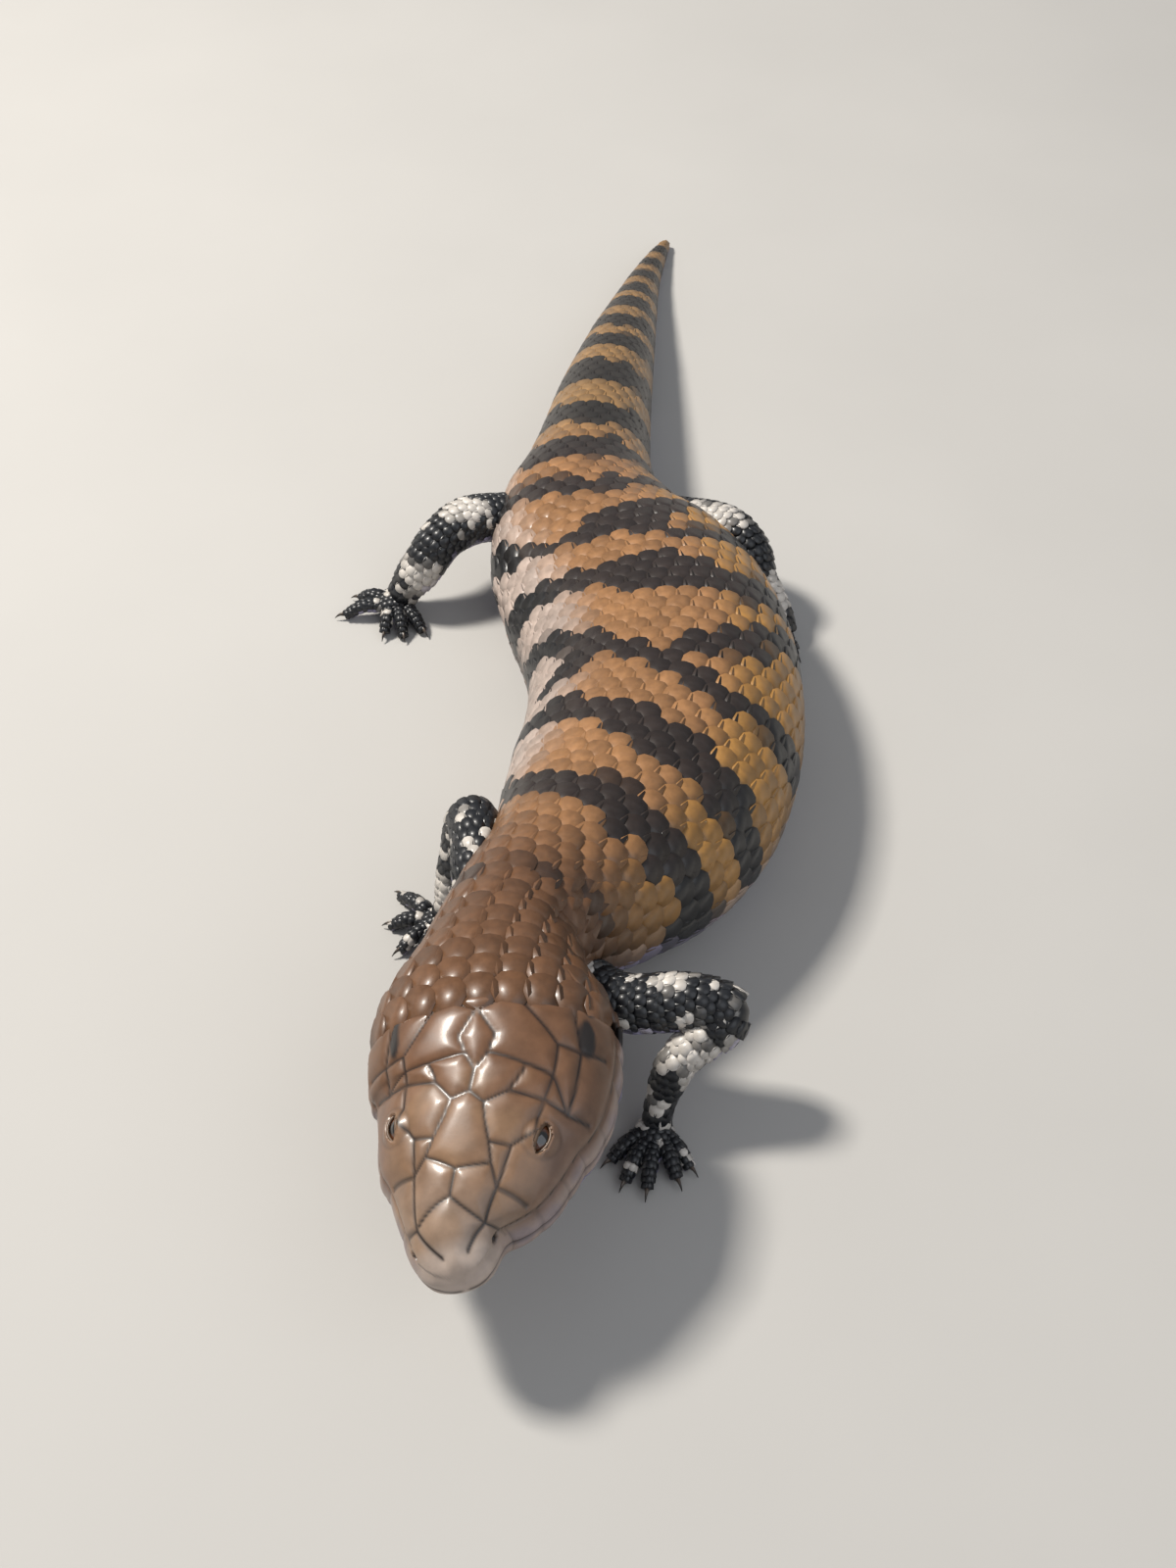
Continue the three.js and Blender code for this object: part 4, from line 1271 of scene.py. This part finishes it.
def tube_frames(line):
    """Directions along and across a line, carried along it without twist."""
    ahead = unit(np.gradient(line, axis=0))
    side = np.cross(ahead[0], [0.0, 0.0, 1.0])
    if np.linalg.norm(side) < 0.2:
        side = np.cross(ahead[0], [0.0, 1.0, 0.0])
    sides = []
    for direction in ahead:
        side = side - direction * (side @ direction)
        side = side / np.linalg.norm(side)
        sides.append(side)
    sides = np.array(sides)
    return ahead, sides, np.cross(sides, ahead)


def radii_at(shares, radii):
    i = np.minimum(shares.astype(int), len(radii) - 2)
    w = shares - i
    w = w * w * (3 - 2 * w)
    radii = np.array(radii)
    return radii[i] * (1 - w) + radii[i + 1] * w


foreleg_line, _ = smooth_line(joints_of(LEGS["foreleg_left"])[0], 6)
print("elbow of the left foreleg:", foreleg_line[3].tolist())

# %% Tubes of the legs and toes
END_BULGE = 0.6
TOE_STEPS = 16
TOE_SIDES = 12


def toe_plan(start, end, bow):
    """Places and radii of a toe's three joints."""
    a = np.array([start[0], start[1], TOE_START_HEIGHT])
    b = np.array([end[0], end[1], TOE_RADIUS - TOE_SINK])
    middle = (a + b) / 2 + np.array([0, 0, bow])
    return [a, middle, b], [TOE_RADIUS * share for share in TOE_TAPER]


def rings_round(across, up, sides):
    """Directions from a line to the corners of its rings."""
    turn = np.arange(sides) * 2 * np.pi / sides
    return across[:, None] * np.cos(turn)[None, :, None] + up[:, None] * np.sin(turn)[None, :, None]


def tube(places, radii, steps, sides, shrink):
    line, shares = smooth_line(places, steps)
    ahead, across, up = tube_frames(line)
    radius = radii_at(shares, radii) - shrink
    points = (line[:, None] + rings_round(across, up, sides) * radius[:, None, None]).reshape(-1, 3)
    front = line[0] - ahead[0] * END_BULGE * radius[0]
    rear = line[-1] + ahead[-1] * END_BULGE * radius[-1]
    return np.vstack([points, front, rear]) + SHIFT, tube_faces(steps + 1, sides)


print("faces of a toe:", len(tube_faces(TOE_STEPS + 1, TOE_SIDES)))

# %% Skin of the legs
LEG_SINK = 0.12
LEG_GAP_SHADE = 0.5
LEG_STEPS = 60
LEG_SIDES = 24
VOXEL = 0.26


def add_foot(place, size, turn):
    bpy.ops.mesh.primitive_uv_sphere_add(
        segments=24, ring_count=16, radius=1, location=Vector(np.array(place) + SHIFT)
    )
    foot = bpy.context.object
    foot.scale = np.array(size) - LEG_SINK
    foot.rotation_euler[2] = math.radians(turn)
    return foot


def leg_skin(name, plan):
    """One leg, remeshed from its tubes and foot, a little inside the solids to make room for scales."""
    points, faces = tube(*joints_of(plan), LEG_STEPS, LEG_SIDES, LEG_SINK)
    for toe in plan["toes"]:
        more, more_faces = tube(*toe_plan(*toe), TOE_STEPS, TOE_SIDES, LEG_SINK * 0.5)
        faces += [[v + len(points) for v in face] for face in more_faces]
        points = np.vstack([points, more])
    mesh = bpy.data.meshes.new(name)
    mesh.from_pydata(points.tolist(), [], faces)
    leg = bpy.data.objects.new(name, mesh)
    bpy.context.scene.collection.objects.link(leg)
    foot = add_foot(*plan["palm"])
    pick(leg, foot)
    bpy.ops.object.join()
    fuse = leg.modifiers.new("Fuse", "REMESH")
    fuse.mode = "VOXEL"
    fuse.voxel_size = VOXEL
    soften = leg.modifiers.new("Soften", "SMOOTH")
    soften.iterations = 3
    for modifier in (fuse, soften):
        bpy.ops.object.modifier_apply(modifier=modifier.name)
    return leg


def leg_unwrap(number, places):
    """Places on the unwrap, in a box of its own for each leg."""
    low = places.min(0)
    spread = (places - low) / (places.max(0) - low)
    return np.array([0.01 + 0.25 * number, 0.62]) + spread[:, :2] * np.array([0.22, 0.36])


def skin_of_legs():
    """The four legs as one mesh in millimetres."""
    points = []
    faces = []
    unwrap = []
    tint = []
    start = 0
    for number, (name, plan) in enumerate(LEGS.items()):
        leg = leg_skin(name, plan)
        outward = np.array([v.normal for v in leg.data.vertices])
        own, own_faces = take_shape(leg)
        own[:, 2] = np.maximum(own[:, 2], FLOOR_GAP)
        faces += [[v + start for v in face] for face in own_faces]
        unwrap.append(leg_unwrap(number, own))
        tint.append(leg_colour(name, own, outward) * LEG_GAP_SHADE)
        points.append(own)
        start += len(own)
    return make_mesh("leg_skin", np.vstack(points), faces, np.vstack(tint), np.vstack(unwrap), skin_material)


pick(skin, skin_of_legs())
bpy.ops.object.join()
print("skin faces with legs:", len(skin.data.polygons))

# %% [markdown]
# The scales of the legs are smaller than those of the trunk and lie towards the toes. They could be copied
# from the trunk's rows, but a leg tapers and bends. Here the rows follow the line of each leg and toe, and
# the top of the foot has short rows of its own. Scales that would lie on the floor are left out.

# %% Seats of the legs' scales
LEG_SCALE = 1.0
FOOT_SCALE = 0.72
TOE_SCALE = 0.62
LEG_ROW_RATIO = 0.72
TOE_ROW_RATIO = 0.85
# Where the rows start, in joints from the first
LEG_START = 0.5
TOE_START = 0.35
LINE_STEPS = 80
SEAT_SINK = 0.1
FOOT_EDGE = 0.92


def tube_scales(places, radii, width, first_share, ratio):
    """Seats of the scales over a tube: place, directions ahead and out, and width."""
    line, shares = smooth_line(places, LINE_STEPS)
    ahead, across, up = tube_frames(line)
    radius = radii_at(shares, radii)
    run = running(np.linalg.norm(np.diff(line, axis=0), axis=1))
    seats = []
    distance = np.interp(first_share, shares, run)
    number = 0
    while distance < run[-1]:
        i = int(np.interp(distance, run, np.arange(len(run))))
        count = max(6, round(2 * np.pi * radius[i] / width))
        for k in range(count):
            turn = 2 * np.pi * (k + 0.5 * (number % 2)) / count
            out = across[i] * np.cos(turn) + up[i] * np.sin(turn)
            place = line[i] + out * (radius[i] - SEAT_SINK) + SHIFT
            seats.append((place, ahead[i], out, 2 * np.pi * radius[i] / count))
        distance += ratio * width
        number += 1
    return seats


def foot_scales(place, size, turn, width):
    """Seats over the top of a foot, lying towards the toes."""
    seats = []
    angle = math.radians(turn)
    forward = np.array([math.sin(angle), -math.cos(angle), 0])
    sideways = np.array([math.cos(angle), math.sin(angle), 0])
    for row, v in enumerate(np.arange(-0.9, 0.91, LEG_ROW_RATIO * width / size[1])):
        for u in np.arange(-0.9, 0.91, width / size[0]):
            u = u + 0.5 * (row % 2) * width / size[0]
            if u * u + v * v > FOOT_EDGE:
                continue
            w = math.sqrt(1 - u * u - v * v)
            out = unit(sideways * u / size[0] - forward * v / size[1] + np.array([0, 0, w / size[2]]))
            spot = sideways * u * size[0] - forward * v * size[1] + np.array([0, 0, w * size[2]])
            ahead = unit(forward - out * (forward @ out))
            seats.append((np.array(place) + spot * 0.96 + SHIFT, ahead, out, width))
    return seats


def leg_seats(plan):
    seats = tube_scales(*joints_of(plan), LEG_SCALE, LEG_START, LEG_ROW_RATIO)
    seats += foot_scales(*plan["palm"], FOOT_SCALE)
    for toe in plan["toes"]:
        seats += tube_scales(*toe_plan(*toe), TOE_SCALE, TOE_START, TOE_ROW_RATIO)
    return [np.array(column) for column in zip(*seats)]


print("seats on a foreleg:", len(leg_seats(LEGS["foreleg_left"])[0]))

# %% Scales of the legs
LEG_TILT = math.radians(8)
LEG_OVERLAP = 1.2
LEG_TONES = (0.85, 1.15)
LOWEST_SEAT = 0.25


def leg_scales(name, number, plan, material):
    seats = leg_seats(plan)
    keep = seats[0][:, 2] > LOWEST_SEAT
    place, ahead, out, width = [column[keep] for column in seats]
    lie, up = tilted(ahead, out, LEG_TILT)
    across = unit(np.cross(lie, up))
    sizes = np.column_stack([width * FILL, width * LEG_OVERLAP, 0.35 + 0.75 * width])
    colour = leg_colour(name, place, out) * chance.uniform(*LEG_TONES, len(place))[:, None]
    print(name, "scales:", len(place))
    seats = (place, across, lie, up, sizes)
    root = leg_unwrap(number, place)
    return lay_copies(name + "_scales", PLATE, PLATE_FACES, seats, colour, root, material)


for number, (name, plan) in enumerate(LEGS.items()):
    coat.append(leg_scales(name, number, plan, scale_material))

# %% [markdown]
# A claw is a thin, dark cone, bent down towards its point. It could be a curve with a bevel, but a cone has
# fewer faces. One is modelled, bent, and copied to the end of every toe.

# %% Claws
CLAW_LENGTH = 1.15
CLAW_WIDTH = 0.62
CLAW_HEIGHT = 0.66
CLAW_SINK = 0.12
CLAW_PATCH = 0.03
CLAW_BROWN = shade("4a3f36")


def one_claw():
    bpy.ops.mesh.primitive_cone_add(vertices=10, radius1=0.5, radius2=0.08, depth=1.0)
    claw = bpy.context.object
    for face in claw.data.polygons:
        face.select = abs(face.normal.z) < 0.9
    bpy.ops.object.mode_set(mode="EDIT")
    bpy.ops.mesh.subdivide(number_cuts=3)
    bpy.ops.object.mode_set(mode="OBJECT")
    points, faces = take_shape(claw)
    way = points[:, 2] + 0.5
    bend = 0.32 * np.sin(way * 2.4) - 0.75 * way ** 2
    return np.column_stack([points[:, 0] * 0.75, way, points[:, 1] + bend]), faces


def claws(material):
    shape, faces = one_claw()
    ends = []
    ways = []
    for plan in LEGS.values():
        for start, end, _ in plan["toes"]:
            ways.append(unit(np.array([end[0] - start[0], end[1] - start[1], 0.0])))
            ends.append([end[0], end[1], CLAW_HEIGHT])
    along = np.array(ways)
    place = np.array(ends) - along * CLAW_SINK + SHIFT
    up = np.tile([0.0, 0.0, 1.0], (len(ends), 1))
    sizes = np.tile([CLAW_WIDTH, CLAW_LENGTH, CLAW_WIDTH], (len(ends), 1))
    colour = np.tile(CLAW_BROWN, (len(ends), 1))
    roots = np.column_stack([np.linspace(0.05, 0.95, len(ends)), np.full(len(ends), 0.3)])
    seats = (place, np.cross(along, up), along, up, sizes)
    return lay_copies("claws", shape, faces, seats, colour, roots, material, CLAW_PATCH)


claw_piece = claws(claw_material)
print("claw faces:", len(claw_piece.data.polygons))

# %% [markdown]
# Each eye is a wet ball with a wide round pupil in a brown iris, between two lids with a rolled rim. The
# pupil could be a hole with a dark room behind it. At this size a dark colour under a clear coat looks the
# same. The rim is a thin tube that follows the opening between the lids.

# %% Eyes
PUPIL = shade("060505")
IRIS = shade("552d15")
EYE_EDGE = shade("1d0f0a")
PUPIL_EDGE = (0.34, 0.4)
IRIS_EDGE = (0.62, 0.74)


def from_seat(points, seat):
    """Points given as distances forward, upward and outward from a seat."""
    place, forward, upward, outward = seat
    return place + (points[:, :1] * forward + points[:, 1:2] * upward + points[:, 2:] * outward)


def eyeball(side, material):
    bpy.ops.mesh.primitive_uv_sphere_add(segments=48, ring_count=32, radius=1)
    points, faces = take_shape(bpy.context.object)
    off = np.hypot(points[:, 0], points[:, 1]) + (points[:, 2] < 0)
    tint = mix(PUPIL, IRIS, ramp(off, *PUPIL_EDGE))
    tint = mix(tint, EYE_EDGE, ramp(off, *IRIS_EDGE))
    around = np.arctan2(points[:, 1], points[:, 0]) / (2 * np.pi) + 0.5
    down = np.arccos(np.clip(points[:, 2], -1, 1)) / np.pi
    unwrap = np.column_stack([0.05 + 0.9 * around, 0.05 + 0.9 * down])
    placed = from_seat(EYE_RADIUS * points, EYES[side])
    return make_mesh("eye_ball_" + side, placed, faces, tint, unwrap, material)


wet = tinted_material("Wet eye", (3500, 0.35), (4000, 0.03), (0.04, 0.12), 1.0, coat_roughness=0.03)
eyes = [eyeball("left", wet), eyeball("right", wet)]
print("eyes:", len(eyes))

# %% Rims of the lids
RIM_STEPS = 40
RIM_SIDES = 8
RIM_REACH = 1.05
RIM_HEIGHT = 0.12
RIM_BROWN = shade("5c4633")


def rim_line():
    """The line of the rim round the opening, and its thickness, which is greater along the upper lid."""
    turn = np.arange(RIM_STEPS) * 2 * np.pi / RIM_STEPS
    x = OPENING[0] * RIM_REACH * np.cos(turn)
    y = OPENING[1] * RIM_REACH * np.sign(np.sin(turn)) * np.abs(np.sin(turn)) ** (4 / 3)
    z = np.sqrt((EYE_RADIUS + RIM_HEIGHT) ** 2 - x * x - y * y)
    return np.column_stack([x, y, z]), 0.13 + 0.07 * np.clip(np.sin(turn), 0, 1)


def lid_rims(material):
    line, thick = rim_line()
    ahead = unit(np.roll(line, -1, axis=0) - np.roll(line, 1, axis=0))
    out = unit(line)
    ring = rings_round(np.cross(ahead, out), out, RIM_SIDES)
    shape = (line[:, None] + ring * thick[:, None, None]).reshape(-1, 3)
    index = np.arange(len(shape)).reshape(RIM_STEPS, RIM_SIDES)
    after = np.roll(index, -1, axis=0)
    corners = [index, after, np.roll(after, -1, axis=1), np.roll(index, -1, axis=1)]
    quads = np.stack(corners, -1).reshape(-1, 4)
    points = np.vstack([from_seat(shape, seat) for seat in EYES.values()])
    faces = quads.tolist() + (quads + len(shape)).tolist()
    number = np.arange(len(points))
    unwrap = [0.05 + 0.9 * number / len(points), 0.1 + 0.5 * (number % RIM_SIDES) / RIM_SIDES]
    tint = np.tile(RIM_BROWN, (len(points), 1))
    return make_mesh("eyelid_rims", points, faces, tint, np.column_stack(unwrap), material)


lids = lid_rims(lid_material)
print("rim faces:", len(lids.data.polygons))

# %% [markdown]
# The model stands still, so every piece rides on its one body, the root. The skin takes the place of all
# the solids of flesh, and each eyeball that of its solid. The scales, claws and rims only dress them. They
# could all be joined, but as pieces of their own each can be looked at alone.

# %% Pieces on the frame
FLESH = [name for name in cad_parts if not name.startswith("eye")]
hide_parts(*FLESH)
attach(skin, "root")
for piece in coat:
    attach(piece, "root")
for piece, name in ((eyes[0], "eye_left"), (eyes[1], "eye_right")):
    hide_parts(name)
    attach(piece, "root")
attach(lids, "root")
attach(claw_piece, "root")
PIECES = [skin, lids, claw_piece] + eyes + coat
for piece in PIECES:
    pick(piece)
    bpy.ops.object.mode_set(mode="EDIT")
    bpy.ops.mesh.select_all(action="SELECT")
    bpy.ops.mesh.normals_make_consistent(inside=False)
    bpy.ops.object.mode_set(mode="OBJECT")
print("pieces:", len(PIECES))

# %% [markdown]
# The floor is plain and pale. In the photograph a soft sun comes from the upper left, and the sky fills the
# shadows. A picture of a sky could light the model. Here one small area lamp is the sun, a broad one and a
# pale world fill the shadows, and the camera looks down at the angle of the photograph.

# %% Floor
FLOOR_GREY = (0.44, 0.43, 0.41, 1)
floor_material, floor_patches = mottled_material("Pale floor", 30, 0.02, (0.7, 0.9))
floor_patches.inputs["Color"].default_value = FLOOR_GREY
bpy.ops.mesh.primitive_plane_add(size=3)
floor = bpy.context.object
floor.name = "floor"
floor.data.materials.append(floor_material)
print("floor:", floor.dimensions.x, "m across")

# %% Lights


def add_light(name, place, aim, size, power, colour):
    light = bpy.data.lights.new(name, "AREA")
    light.size = size
    light.energy = power
    light.color = colour
    lamp = bpy.data.objects.new(name, light)
    lamp.location = place
    lamp.rotation_euler = (Vector(aim) - Vector(place)).to_track_quat("-Z", "Y").to_euler()
    bpy.context.scene.collection.objects.link(lamp)


add_light(
    "Soft sun", place=(-0.28, 0.10, 0.42), aim=(0, -0.01, 0), size=0.09, power=3.9, colour=(1.0, 0.95, 0.88)
)
add_light("Fill", place=(0.35, -0.35, 0.4), aim=(0, 0, 0), size=0.6, power=1.2, colour=(0.9, 0.94, 1.0))
SKY_COLOUR = (0.9, 0.93, 1.0, 1)
SKY_STRENGTH = 0.34
world = bpy.data.worlds.new("Pale room")
world.use_nodes = True
sky = world.node_tree.nodes["Background"]
sky.inputs["Color"].default_value = SKY_COLOUR
sky.inputs["Strength"].default_value = SKY_STRENGTH
bpy.context.scene.world = world
print("lamps:", len(bpy.data.lights))

# %% Camera
# Place in millimetres, pitch in degrees below level
CAMERA_PLACE = (2.27, -170.23, 161.2)
CAMERA_PITCH = 46
CAMERA_LENS = 54
SENSOR_WIDTH = 36
NEAREST_SIGHT = 0.01
camera = bpy.data.objects.new("Camera", bpy.data.cameras.new("Camera"))
camera.data.lens = CAMERA_LENS
camera.data.sensor_width = SENSOR_WIDTH
camera.data.clip_start = NEAREST_SIGHT
camera.location = [value * MM for value in CAMERA_PLACE]
camera.rotation_euler = (math.radians(90 - CAMERA_PITCH), 0, 0)
bpy.context.scene.collection.objects.link(camera)
bpy.context.scene.camera = camera
bpy.context.scene.view_settings.view_transform = "Standard"
print("camera:", CAMERA_PLACE[2], "mm over the floor")
